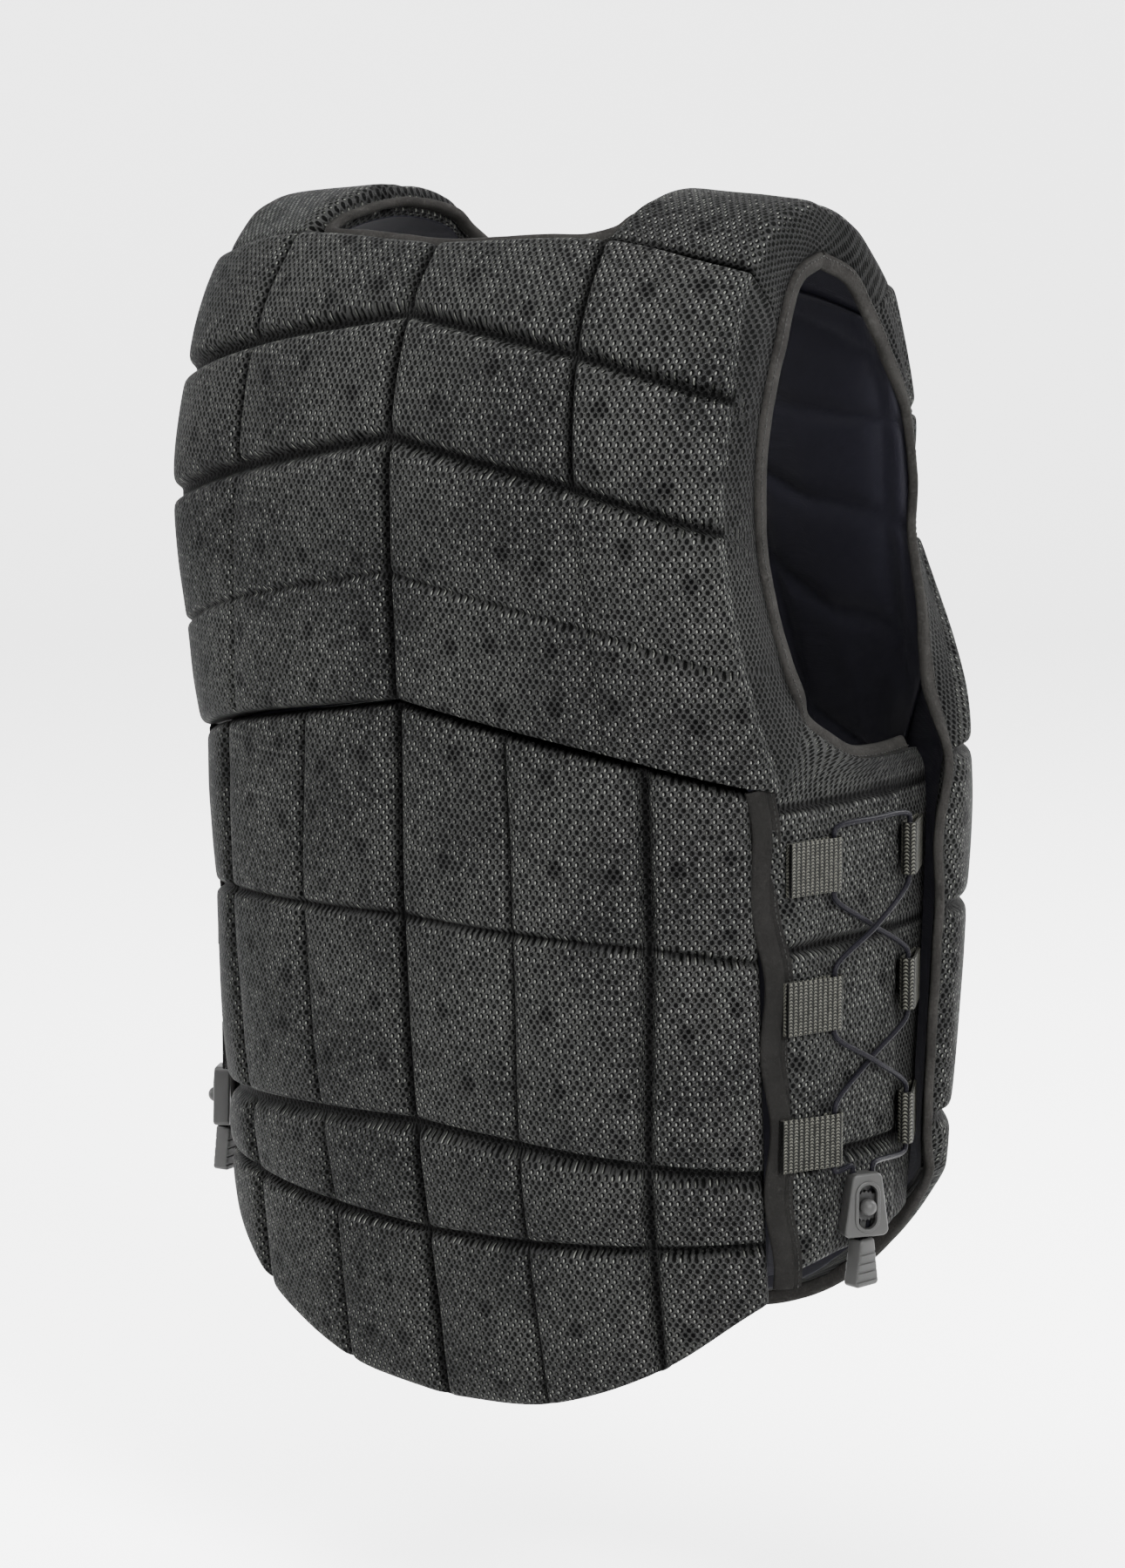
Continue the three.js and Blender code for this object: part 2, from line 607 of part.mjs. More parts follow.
function yokeBindingPoints() {
  return [0.15, 0.6, 1, 1.4, 2, 2.5, 3, 3.6].map((r) => offEdge(edgeOf(yokeRows, r), yokePlace(2, r)));
}

function wingBindingPoints() {
  const middle = middleOf(wingPlace, wingInside);
  return [0.35, 1, 2, 3, 3.9].map((c) => offRim(middle, [c, 0], [0, 0.3], [0.1, 0]));
}

function padBindingPoints(rows) {
  return rows.map((r) => offEdge(padPoint('edge', r), padPoint('side', r)));
}

function buildArmholeBinding(side, mirrored) {
  const route = [...padBindingPoints([2, 1.1]), ...yokeBindingPoints(), ...wingBindingPoints()];
  const points = along(route, bindingSteps.armhole);
  const ups = points.map(() => new THREE.Vector3(1, 0, 0));
  const section = roundSection(bindingRadius, roundSides);
  add(`armhole_binding_${side}`, sweep(points, ups, section, false, mirrored), bindingCloth);
}

// The front binding goes down the front armhole edge, the side edge and round the hem.
function frontBindingPoints() {
  const middle = middleOf(frontPlace, frontInside);
  const wide = bindingOff * 1.3; // round the bends at the foot of the armhole
  const armhole = [0.1, 0.5, 0.8, 1, 1.5, 2].map((r) => offEdge(frontInside(3, r), frontPlace(3, r)));
  const bend = [2.3, 2.6].map((r) => offEdge(frontInside(3, r), frontPlace(3, r), wide));
  const sideTop = [2.85, 3.1].map((r) => offRim(middle, [3, r], [-0.2, 0], [0, 0.1], wide));
  const sideEdge = [3.5, 4, 4.5, 5, 5.4, 5.75].map((r) => offRim(middle, [3, r], [-0.2, 0], [0, 0.1]));
  const corner = offEdge(middle(3, 6), middle(2.8, 5.8), bindingOff * 1.7);
  const hem = [2.75, 2.4, 2, 1.5, 1, 0.5, 0.12].map((c) => offRim(middle, [c, 6], [0, -0.2], [0.1, 0]));
  return [...armhole, ...bend, ...sideTop, ...sideEdge, corner, ...hem];
}

function buildFrontBinding(side, mirrored) {
  const route = [...padBindingPoints([2.12, 3]), ...frontBindingPoints()];
  const points = along(route, bindingSteps.front);
  const ups = points.map(() => new THREE.Vector3(0.8, 0.6, 0));
  const section = roundSection(bindingRadius, roundSides);
  add(`front_binding_${side}`, sweep(points, ups, section, false, mirrored), bindingCloth);
}

// Neck binding: one ring along the yoke, the two shoulders and the front neckline.
function buildNeckBinding() {
  const yoke = middleOf(yokePlace, yokeInside);
  const front = middleOf(frontPlace, frontInside);
  const pad = middleOf(padPlace, padInside);
  const right = [
    ...[0, 0.3, 0.6, 0.85].map((c) => offRim(yoke, [c, 0], [0, 0.25], [0.1, 0])),
    ...[0.5, 1, 2, 3, 3.5].map((r) => offRim(pad, [0, r], [0.2, 0], [0, 0.2])),
    ...[1.8, 1.5, 1.2, 0.8, 0.35].map((c) => offRim(front, [c, 0], [0, 0.3], [0.1, 0])),
  ];
  const left = right.slice(1).reverse().map((p) => new THREE.Vector3(-p.x, p.y, p.z));
  const points = along([...right, ...left], bindingSteps.neck, true);
  const ups = points.map(() => new THREE.Vector3(0, 0, 1));
  const section = roundSection(bindingRadius, roundSides);
  add('neck_binding', sweep(points, ups, section, true, false), bindingCloth);
}

// Side tape over the seam between the lower back and the wing.
function tapeRail(r) {
  const back = lowerPlace(3, r);
  const front = wingPlace(0, THREE.MathUtils.clamp(0.95 + r * 0.76, 0.95, 4));
  const out = normalAt(lowerPlace, 3, r).add(wingNormal(0, 2)).normalize();
  return back.lerp(front, 0.5).addScaledVector(out, tapeThickness + fit + tapeLift);
}

function buildTape(side, mirrored) {
  const points = along([0.03, 0.5, 1, 1.5, 2, 2.5, 3, 3.5, 3.95].map(tapeRail), tapeSteps);
  const ups = points.map(() => new THREE.Vector3(-0.82, 0.57, 0));
  const section = flatSection(tapeWidth, tapeThickness);
  add(`side_tape_${side}`, sweep(points, ups, section, false, mirrored), bindingCloth);
}

// Zip up the middle of the front, a plain closed strip.
function buildZip() {
  const [top, foot] = [0.03, frontRows.length - 1.03];
  const points = Array.from({ length: zipSteps + 1 }, (_, i) => {
    const { z } = frontPlace(0, THREE.MathUtils.lerp(top, foot, i / zipSteps));
    return new THREE.Vector3(0, outlineY(0, z, -1) + zipThickness / 2, z);
  });
  const ups = points.map(() => new THREE.Vector3(0, -1, 0));
  const section = flatSection(zipWidth - 2 * fit, zipThickness);
  add('front_zip', sweep(points, ups, section, false, false), zipPlastic);
}

// Where a loop lies: a point on the wing's blocks, lifted off them.
function onWing(y, z, lift) {
  const p = spot(outlineHalf(y, z), y, z);
  p.x += wingSetIn(y, z) - lift;
  return p;
}

// Middle of a loop's fold, where the lace runs through it.
function loopEye(y, z) {
  return onWing(y, z, loopLift + laceLift);
}

// Webbing loop: a hairpin in plan, standing webbingWidth tall, its fold round the lace.
function buildLoop(name, base, eye, mirrored) {
  const way = eye.clone().sub(base).setZ(0).normalize();
  const out = new THREE.Vector3(way.y, -way.x, 0);
  if (out.x > 0) out.negate();
  const outside = [];
  const inside = [];
  for (let i = 0; i <= foldSteps; i += 1) {
    const t = Math.PI / 2 - (Math.PI * i) / foldSteps;
    const dir = out.clone().multiplyScalar(Math.sin(t)).addScaledVector(way, Math.cos(t));
    outside.push(eye.clone().addScaledVector(dir, eyeRadius + webbingThickness));
    inside.push(eye.clone().addScaledVector(dir, eyeRadius));
  }
  const narrow = webbingSlit / 2;
  const ends = (side, radius) => base.clone().addScaledVector(out, side * radius);
  const profile = [
    ends(1, narrow + webbingThickness), ...outside, ends(-1, narrow + webbingThickness),
    ends(-1, narrow), ...inside.reverse(), ends(1, narrow),
  ];
  const shape = new THREE.Shape(profile.map((p) => new THREE.Vector2(p.x, p.y)));
  const geometry = new THREE.ExtrudeGeometry(shape, { depth: webbingWidth, bevelEnabled: false });
  geometry.translate(0, 0, eye.z - webbingWidth / 2);
  if (mirrored) {
    geometry.scale(-1, 1, 1);
    const index = geometry.getAttribute('position');
    for (let i = 0; i < index.count; i += 3) {
      const [b, c] = [i + 1, i + 2].map((k) => new THREE.Vector3().fromBufferAttribute(index, k));
      index.setXYZ(i + 1, c.x, c.y, c.z);
      index.setXYZ(i + 2, b.x, b.y, b.z);
    }
  }
  add(name, geometry, webbing);
}

const [backBase, backFold, frontFold, frontBase] = ['backBase', 'backFold', 'frontFold', 'frontBase']
  .map((name) => depthOf(loopDepths[name]));

function loopHeights() {
  return [2, 1, 0].map((i) => heightOf(lowestLoop / backLength) + i * loopPitch);
}

function buildLoops(side, mirrored) {
  loopHeights().forEach((z, i) => {
    const sewn = onWing(backBase, z, loopLift);
    buildLoop(`back_loop_${side}_${i + 1}`, sewn, loopEye(backFold, z), mirrored);
    const tucked = onWing(frontBase, z, webbingThickness + 2 * fit);
    buildLoop(`front_loop_${side}_${i + 1}`, tucked, loopEye(frontFold, z), mirrored);
  });
}

// Lock frame: x across the face, y outwards, z up, its middle at the lock's middle.
function lockMiddle(side) {
  const { out, depth } = lockPlaces[side];
  return spot(halfWidth + out, depthOf(depth), heightOf(lockBottom / backLength) + lockHeight / 2);
}

const boreY = -lockDepth / 2 + lockBackWall + lockBore / 2;
const pocketDepth = wheelThickness + 2 * wheelGap;
const pocketY = lockDepth / 2 - lockWall - pocketDepth / 2;

function lockToBody(p, side, twist) {
  const out = new THREE.Vector3(-Math.cos(twist), Math.sin(twist), 0);
  const across = new THREE.Vector3(-Math.sin(twist), -Math.cos(twist), 0);
  return lockMiddle(side).addScaledVector(across, p.x).addScaledVector(out, p.y)
    .add(new THREE.Vector3(0, 0, p.z));
}

function lockMatrix(side, twist) {
  const out = new THREE.Vector3(-Math.cos(twist), Math.sin(twist), 0);
  const across = new THREE.Vector3(Math.sin(twist), Math.cos(twist), 0);
  const up = new THREE.Vector3(0, 0, 1);
  return new THREE.Matrix4().makeBasis(across, out, up).setPosition(lockMiddle(side));
}

function solid(geometry) {
  const bare = geometry.clone();
  bare.deleteAttribute('normal');
  bare.deleteAttribute('uv');
  const merged = mergeVertices(bare, 1e-4);
  const mesh = new wasm.Mesh({
    numProp: 3,
    vertProperties: new Float32Array(merged.getAttribute('position').array),
    triVerts: new Uint32Array(merged.getIndex().array),
  });
  return new wasm.Manifold(mesh);
}

function fromSolid(body) {
  const data = body.getMesh();
  const geometry = new THREE.BufferGeometry();
  geometry.setAttribute('position', new THREE.Float32BufferAttribute(Array.from(data.vertProperties), 3));
  geometry.setIndex(Array.from(data.triVerts));
  return geometry;
}

// Upright plate from an outline in x and z, with its thickness on y.
function plate(outlinePoints, depth, middleY) {
  const shape = new THREE.Shape(outlinePoints.map(([x, z]) => new THREE.Vector2(x, z)));
  const geometry = new THREE.ExtrudeGeometry(shape, { depth, bevelEnabled: false });
  geometry.rotateX(Math.PI / 2);
  geometry.translate(0, middleY + depth / 2, 0);
  return geometry;
}

function roundedTrapezoid(top, foot, height, radius, steps) {
  const [a, b, h] = [foot / 2, top / 2, height / 2];
  const corners = [[-a, -h], [a, -h], [b, h], [-b, h]];
  const starts = [-Math.PI, -Math.PI / 2, 0, Math.PI / 2];
  return corners.flatMap(([x, z], i) => {
    const [cx, cz] = [x - Math.sign(x) * radius, z - Math.sign(z) * radius];
    return Array.from({ length: steps + 1 }, (_, k) => {
      const t = starts[i] + (k / steps) * (Math.PI / 2);
      return [cx + radius * Math.cos(t), cz + radius * Math.sin(t)];
    });
  });
}

function buildLock(side, mirrored) {
  const face = roundedTrapezoid(lockTopWidth, lockFootWidth, lockHeight, lockCorner, 2);
  let body = solid(plate(face, lockDepth, 0));
  const slot = roundedTrapezoid(slotWidth, slotWidth, slotHeight, slotWidth / 2 - 0.01, 4);
  const slotPlate = plate(slot, lockDepth / 2, lockDepth / 2).translate(0, 0, -slotDrop);
  body = body.subtract(solid(slotPlate));
  const pocketWidth = wheelDiameter + 2 * wheelGap;
  const pocket = new THREE.BoxGeometry(pocketWidth, pocketDepth, pocketWidth + wheelTravel);
  pocket.translate(0, pocketY, -slotDrop - wheelTravel / 2);
  body = body.subtract(solid(pocket));
  const boreLean = Math.atan2(lockBoreTop - lockBoreFoot, lockHeight);
  for (const sign of [-1, 1]) {
    const bore = new THREE.CylinderGeometry(
      lockBore / 2 + boreFlare, lockBore / 2, lockHeight + lockCorner, boreSides,
    );
    bore.rotateX(Math.PI / 2).rotateY(sign * boreLean);
    bore.translate(sign * (lockBoreTop + lockBoreFoot) / 2, boreY, 0);
    body = body.subtract(solid(bore));
  }
  const geometry = fromSolid(body).applyMatrix4(lockMatrix(side, lockTwist));
  add(`cord_lock_${side}`, settle(geometry, mirrored), plastic);
}

// The right copy lies in place as made; the left one is its mirror image.
function settle(geometry, mirrored) {
  const position = geometry.getAttribute('position');
  const point = (_, i) => new THREE.Vector3().fromBufferAttribute(position, i);
  const points = Array.from({ length: position.count }, point);
  return meshData(points, Array.from(geometry.getIndex().array), mirrored);
}

function buildWheel(side, mirrored) {
  const rim = Array.from({ length: wheelTeeth * 2 }, (_, i) => {
    const radius = wheelDiameter / 2 - (i % 2) * toothDepth;
    const t = (i / (wheelTeeth * 2)) * Math.PI * 2;
    return [radius * Math.cos(t), radius * Math.sin(t)];
  });
  let body = solid(plate(rim, wheelThickness, pocketY));
  const knob = new THREE.SphereGeometry(knobDiameter / 2, 9, 6);
  knob.rotateX(Math.PI / 2).translate(0, lockDepth / 2 + knobStandOut, 0);
  body = body.add(solid(knob));
  const geometry = fromSolid(body).translate(0, 0, -slotDrop).applyMatrix4(lockMatrix(side, lockTwist));
  add(`lock_wheel_${side}`, settle(geometry, mirrored), plastic);
}

// Grip: widens downwards, ribbed on its face, with the two lace ends in its top.
function buildGrip(side, mirrored) {
  const outlinePoints = roundedTrapezoid(gripTopWidth, gripFootWidth, gripHeight, gripCorner, 2);
  let body = solid(plate(outlinePoints, gripDepth, 0));
  const ribPitch = gripHeight / (2 * gripRibs + 1);
  for (let i = 0; i < gripRibs; i += 1) {
    const cut = new THREE.BoxGeometry(2 * gripFootWidth, 2 * gripRibDepth, ribPitch * 0.45);
    cut.translate(0, gripDepth / 2, gripHeight * 0.14 - i * ribPitch * 1.35);
    body = body.subtract(solid(cut));
  }
  const hole = new THREE.BoxGeometry(gripHoleWidth, gripHoleWidth * 0.75, gripHoleDepth * 2);
  body = body.subtract(solid(hole.translate(0, 0, gripHeight / 2)));
  body = body.translate([0, -gripBack, -lockHeight / 2 - gripGap - gripHeight / 2]);
  const geometry = fromSolid(body).applyMatrix4(lockMatrix(side, gripTwist));
  add(`cord_grip_${side}`, settle(geometry, mirrored), plastic);
}

// The lace is one cord from grip to grip end, up and down through the loops.
function laceRoute(side) {
  const [top, middle, low] = loopHeights();
  const half = webbingWidth / 2;
  const through = (y, z, order) => [1.25, 0.8, 0, -0.8, -1.25].map((s) => s * order * half).map((dz) => {
    const p = loopEye(y, z);
    p.z += dz;
    return p;
  });
  const cross = (z, lift) => onWing((backFold + frontFold) / 2, z, loopLift + lift);
  const clear = laceDiameter / 2 + fit; // one strand passes over the other
  const lockIn = (sign, dz) => {
    const x = THREE.MathUtils.mapLinear(dz, -lockHeight / 2, lockHeight / 2, lockBoreFoot, lockBoreTop);
    return lockToBody(new THREE.Vector3(sign * x, boreY, dz), side, lockTwist);
  };
  const gripIn = (sign) => lockIn(sign, -lockHeight / 2 - gripGap - gripHoleDepth + 1);
  const upper = (top + middle) / 2;
  const lower = (middle + low) / 2;
  const inLock = (sign) => [0.6, 0.5, 0.2, -0.2, -0.5].map((s) => lockIn(sign, s * lockHeight));
  return [
    gripIn(-1),
    ...inLock(-1).reverse(),
    ...through(backFold, low, -1),
    cross(lower, laceLift - clear),
    ...through(frontFold, middle, -1),
    cross(upper, laceLift - clear),
    ...through(backFold, top, -1),
    cross(top + half + 2 * laceDiameter, laceLift),
    ...through(frontFold, top, 1),
    cross(upper, laceLift + clear),
    ...through(backFold, middle, 1),
    cross(lower, laceLift + clear),
    ...through(frontFold, low, 1),
    ...inLock(1),
    gripIn(1),
  ];
}

function buildLace(side, mirrored) {
  const points = along(laceRoute(side), laceSteps);
  const ups = points.map(() => new THREE.Vector3(-1, 0.1, 0));
  const section = roundSection(laceDiameter / 2, laceSides);
  add(`lace_${side}`, sweep(points, ups, section, false, mirrored), cordCloth);
}

buildBack();
for (const [side, mirrored] of [['right', false], ['left', true]]) {
  buildFront(side, mirrored);
  buildLining(side, mirrored);
  buildWing(side, mirrored);
  buildShoulder(side, mirrored);
  buildArmholeBinding(side, mirrored);
  buildFrontBinding(side, mirrored);
  buildTape(side, mirrored);
  buildLoops(side, mirrored);
  buildLock(side, mirrored);
  buildWheel(side, mirrored);
  buildGrip(side, mirrored);
  buildLace(side, mirrored);
}
buildNeckBinding();
buildZip();

export default group;
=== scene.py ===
import math
import bpy
import bmesh
import numpy as np
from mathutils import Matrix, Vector, noise


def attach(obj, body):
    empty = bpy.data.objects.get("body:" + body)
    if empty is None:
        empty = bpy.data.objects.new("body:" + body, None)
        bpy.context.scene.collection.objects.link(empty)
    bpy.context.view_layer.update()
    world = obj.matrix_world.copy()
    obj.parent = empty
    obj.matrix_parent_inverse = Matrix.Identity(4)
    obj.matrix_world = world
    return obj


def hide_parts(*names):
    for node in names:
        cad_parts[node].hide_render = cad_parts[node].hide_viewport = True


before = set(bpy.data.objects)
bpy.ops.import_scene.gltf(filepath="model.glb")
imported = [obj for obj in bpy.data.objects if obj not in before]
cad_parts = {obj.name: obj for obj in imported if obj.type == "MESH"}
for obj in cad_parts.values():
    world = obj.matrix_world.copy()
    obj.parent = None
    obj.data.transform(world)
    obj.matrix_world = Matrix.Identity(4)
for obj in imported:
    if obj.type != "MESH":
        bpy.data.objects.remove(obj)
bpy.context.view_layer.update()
scene = bpy.context.scene
sides = [("right", False), ("left", True)]  # the wearer's; right is -X and left its mirror image

# camera, floor and light
shot = {
    "place": (-1.220, 1.512, 0.058),
    "forward": (0.6149, -0.7730, -0.1563),
    "lens": 97.0,
    "floorHeight": -0.66,
    "floorRadius": 4.0,
    "sweepRadius": 1.6,
}
studio = {
    "key": {"place": (-3.0, 1.3, 1.3), "size": 1.3, "watts": 420},
    "rim": {"place": (1.9, 1.9, 1.1), "size": 1.3, "watts": 110},
    "front": {"place": (-1.0, -2.3, 1.2), "size": 1.6, "watts": 150},
    "top": {"place": (0.1, 0.7, 2.4), "size": 2.2, "watts": 260},
    "aim": (0.0, -0.03, -0.25),
    "world": 2.4,
}


def look(obj, place, direction):
    obj.location = place
    obj.rotation_euler = Vector(direction).to_track_quat("-Z", "Y").to_euler()


def newObject(name, data):
    obj = bpy.data.objects.new(name, data)
    scene.collection.objects.link(obj)
    return obj


cameraData = bpy.data.cameras.new("camera")
cameraData.lens = shot["lens"]
cameraData.sensor_width = 36.0
cameraData.clip_end = 50.0
camera = newObject("camera", cameraData)
look(camera, shot["place"], shot["forward"])
scene.camera = camera

for name in ["key", "rim", "front", "top"]:
    lamp = bpy.data.lights.new(name, "AREA")
    lamp.shape = "DISK"
    lamp.size = studio[name]["size"]
    lamp.energy = studio[name]["watts"]
    place = Vector(studio[name]["place"])
    look(newObject(name, lamp), place, Vector(studio["aim"]) - place)

world = bpy.data.worlds.new("studio")
scene.world = world
world.use_nodes = True
world.node_tree.nodes["Background"].inputs["Color"].default_value = (1, 1, 1, 1)
world.node_tree.nodes["Background"].inputs["Strength"].default_value = studio["world"]
print("camera and lights")


# a socket of a node tree, so that maths reads as plain expressions
class Wire:
    def __init__(self, nodes, socket):
        self.nodes = nodes
        self.socket = socket

    def maths(self, kind, *values):
        return self.nodes.node("ShaderNodeMath", {"operation": kind}, dict(enumerate(values)))

    def __add__(self, other):
        return self.maths("ADD", self, other)

    def __sub__(self, other):
        return self.maths("SUBTRACT", self, other)

    def __rsub__(self, other):
        return self.maths("SUBTRACT", other, self)

    def __mul__(self, other):
        return self.maths("MULTIPLY", self, other)

    def __truediv__(self, other):
        return self.maths("DIVIDE", self, other)

    def __pow__(self, other):
        return self.maths("POWER", self, other)

    __radd__ = __add__
    __rmul__ = __mul__

    def part(self):
        return self.maths("FRACT", self)

    def floor(self):
        return self.maths("FLOOR", self)

    def root(self):
        return self.maths("SQRT", self)

    def size(self):
        return self.maths("ABSOLUTE", self)

    def wave(self):
        return self.maths("SINE", self)

    def least(self, other):
        return self.maths("MINIMUM", self, other)

    def most(self, other):
        return self.maths("MAXIMUM", self, other)

    def below(self, other):
        return self.maths("LESS_THAN", self, other)

    def ramp(self, low, high):  # smooth step from 0 at low to 1 at high
        inputs = {"Value": self, "From Min": low, "From Max": high}
        return self.nodes.node("ShaderNodeMapRange", {"interpolation_type": "SMOOTHSTEP"}, inputs)


class Nodes:
    def __init__(self, tree):
        self.tree = tree

    def node(self, kind, settings=None, inputs=None, output=0):
        made = self.tree.nodes.new(kind)
        for key, value in (settings or {}).items():
            setattr(made, key, value)
        for key, value in (inputs or {}).items():
            if isinstance(value, Wire):
                self.tree.links.new(value.socket, made.inputs[key])
            else:
                made.inputs[key].default_value = value
        return Wire(self, made.outputs[output])

    def given(self, label):  # one of the tree's own inputs
        return self.node("NodeGroupInput", {}, {}, label)

    def capture(self, geometry, value):
        made = self.tree.nodes.new("GeometryNodeCaptureAttribute")
        made.capture_items.new("FLOAT", "Value")
        self.tree.links.new(geometry.socket, made.inputs[0])
        self.tree.links.new(value.socket, made.inputs[1])
        return Wire(self, made.outputs[0]), Wire(self, made.outputs[1])

    def close(self, geometry):
        geometry = self.node("GeometryNodeRealizeInstances", {}, {0: geometry})
        geometry = self.node("GeometryNodeSetShadeSmooth", {}, {0: geometry})
        finish = {"Geometry": geometry, "Material": self.given("Finish")}
        geometry = self.node("GeometryNodeSetMaterial", {}, finish)
        end = self.tree.nodes.new("NodeGroupOutput")
        self.tree.links.new(geometry.socket, end.inputs[0])
        return self.tree


# one material; keyword arguments set sockets of its shader that stay the same all over
class Paint(Nodes):
    def __init__(self, name, **fixed):
        self.material = bpy.data.materials.new(name)
        self.material.use_nodes = True
        super().__init__(self.material.node_tree)
        self.shader = self.tree.nodes["Principled BSDF"]
        for socket, value in fixed.items():
            self.shader.inputs[socket.replace("_", " ")].default_value = value

    def mix(self, factor, a, b):
        return self.node("ShaderNodeMix", {"data_type": "RGBA"}, {0: factor, 6: a, 7: b}, 2)

    def apart(self, vector):
        return [self.node("ShaderNodeSeparateXYZ", {}, {0: vector}, i) for i in range(3)]

    def along(self):  # flat coordinates of the cloth, in metres
        return self.apart(self.node("ShaderNodeUVMap", {"uv_map": "UVMap"}))[:2]

    def mottle(self, scale, detail=2.0):
        place = self.node("ShaderNodeTexCoord", {}, {}, "Object")
        inputs = {"Vector": place, "Scale": scale, "Detail": detail}
        return self.node("ShaderNodeTexNoise", {}, inputs)

    def mark(self, name):
        return self.node("ShaderNodeAttribute", {"attribute_name": name}, {}, "Fac")

    def feed(self, socket, value):
        self.tree.links.new(value.socket, self.shader.inputs[socket])

    def bump(self, height, strength, distance):
        inputs = {"Strength": strength, "Distance": distance, "Height": height}
        self.feed("Normal", self.node("ShaderNodeBump", {}, inputs))


def grey(value, tint=(1.0, 1.0, 1.0)):
    return (value * tint[0], value * tint[1], value * tint[2], 1.0)


meshCloth = {
    "across": 0.0032,  # from hole to hole along a row
    "rows": 0.0047,  # two rows of holes, the second shifted by half a hole
    "holeWidth": 0.00098,
    "holeHeight": 0.00124,
    "spotPitch": 0.0285,  # between the perforations of the foam that show through
    "spotRadius": (0.0027, 0.0042),
    "yarn": grey(0.0108, (1.0, 1.02, 0.98)),
    "yarnDark": grey(0.0052, (1.0, 1.02, 1.02)),
    "crossingHighlight": grey(0.019),  # yarn between two holes of a row, painted lighter as a highlight
    "hole": grey(0.00006, (0.9, 1.0, 1.1)),
    "foam": grey(0.0006, (1.0, 1.03, 0.98)),
    # painted glints: the foam seen through the holes, painted light where the blocks face the light
    "glint": grey(0.078, (1.0, 1.03, 0.93)),
}


def paintMeshCloth():
    cloth = meshCloth
    paint = Paint("meshCloth", Specular_IOR_Level=0.015)
    u, v = paint.along()
    x, y = u * (1 / cloth["across"]), v * (1 / cloth["rows"])
    toMiddle = []
    for shift in (0.0, 0.5):
        dx = ((x + shift).part() - 0.5) * (cloth["across"] / cloth["holeWidth"])
        dy = ((y + shift).part() - 0.5) * (cloth["rows"] / cloth["holeHeight"])
        toMiddle.append((dx, dy, (dx * dx + dy * dy).root()))
    isFirst = toMiddle[0][2].below(toMiddle[1][2])
    away = toMiddle[0][2].least(toMiddle[1][2])
    dx = toMiddle[0][0] * isFirst + toMiddle[1][0] * (1 - isFirst)
    dy = toMiddle[0][1] * isFirst + toMiddle[1][1] * (1 - isFirst)
    hole = 1 - away.ramp(0.72, 1.15)
    cellX = x.floor() * isFirst + ((x + 0.5).floor() + 0.37) * (1 - isFirst)
    cellY = y.floor() * isFirst + ((y + 0.5).floor() + 0.71) * (1 - isFirst)
    cell = paint.node("ShaderNodeCombineXYZ", {}, {0: cellX, 1: cellY})
    chance = paint.node("ShaderNodeTexWhiteNoise", {"noise_dimensions": "2D"}, {"Vector": cell})
    place = paint.node("ShaderNodeCombineXYZ", {}, {0: u, 1: v * 0.86})
    inputs = {"Vector": place, "Scale": 1 / cloth["spotPitch"], "Randomness": 0.5}
    toSpot = paint.node("ShaderNodeTexVoronoi", {"voronoi_dimensions": "2D"}, inputs, "Distance")
    spot = (1 - (toSpot * cloth["spotPitch"]).ramp(*cloth["spotRadius"])) * paint.mark("perforation")
    groove = paint.mark("groove")
    # painted glints, strongest where the blocks face the light and along their edges
    lit = (paint.mark("glint") + paint.mottle(13.0, 1.0) * 0.9 - 0.45).most(0.0)
    offMiddle = ((dx + 0.4) * (dx + 0.4) * 2.6 + (dy + 0.2) * (dy + 0.2)).root()
    glint = (chance * chance * lit * 1.5).least(0.75) * (1 - offMiddle.ramp(0.25, 0.8))
    glint = glint * (1 - spot) * (1 - groove)
    broad = paint.mottle(16.0, 3.0).ramp(0.3, 0.7)
    # the yarn between the holes of a row is painted lighter as a highlight
    crossingHighlight = (dy.size() - 0.9).ramp(0.0, 0.5)
    yarn = paint.mix(broad, cloth["yarn"], cloth["yarnDark"])
    yarn = paint.mix(crossingHighlight * 0.35 + chance * 0.15, yarn, cloth["crossingHighlight"])
    inHole = paint.mix(spot, paint.mix(chance * 0.8, cloth["foam"], cloth["hole"]), cloth["hole"])
    colour = paint.mix(hole, yarn, inHole)
    colour = paint.mix(glint, colour, cloth["glint"])
    # painted shade darkens the groove floors between blocks; the perforation spots darken too
    paint.feed("Base Color", paint.mix((groove * 0.8).most(spot * 0.35), colour, cloth["hole"]))
    paint.feed("Roughness", 0.68 - glint * 0.3)
    ply = (u * 7600 + v * 4300).wave() * 0.12 + (v * 9000 - u * 3900).wave() * 0.08
    paint.bump((1 - hole) * (1.0 + ply) - spot * hole * 0.5, 0.6, 0.0008)
    return paint.material


lining = {
    "colour": grey(0.0026, (0.98, 0.93, 1.5)),
    "worn": grey(0.0042, (0.98, 0.95, 1.4)),
    "threads": 5200.0,
}


def paintLining():
    paint = Paint("lining", Roughness=0.62, Specular_IOR_Level=0.05)
    u, v = paint.along()
    weave = (u * lining["threads"]).wave() * (v * lining["threads"]).wave()
    broad = paint.mottle(14.0, 3.0)
    paint.feed("Base Color", paint.mix(broad, lining["colour"], lining["worn"]))
    paint.bump(weave + broad * 3.0, 0.12, 0.0004)
    return paint.material


felt = {"colour": grey(0.00588, (1.04, 1.0, 0.93)), "worn": grey(0.01176, (1.04, 1.0, 0.93)), "nap": 1100.0}


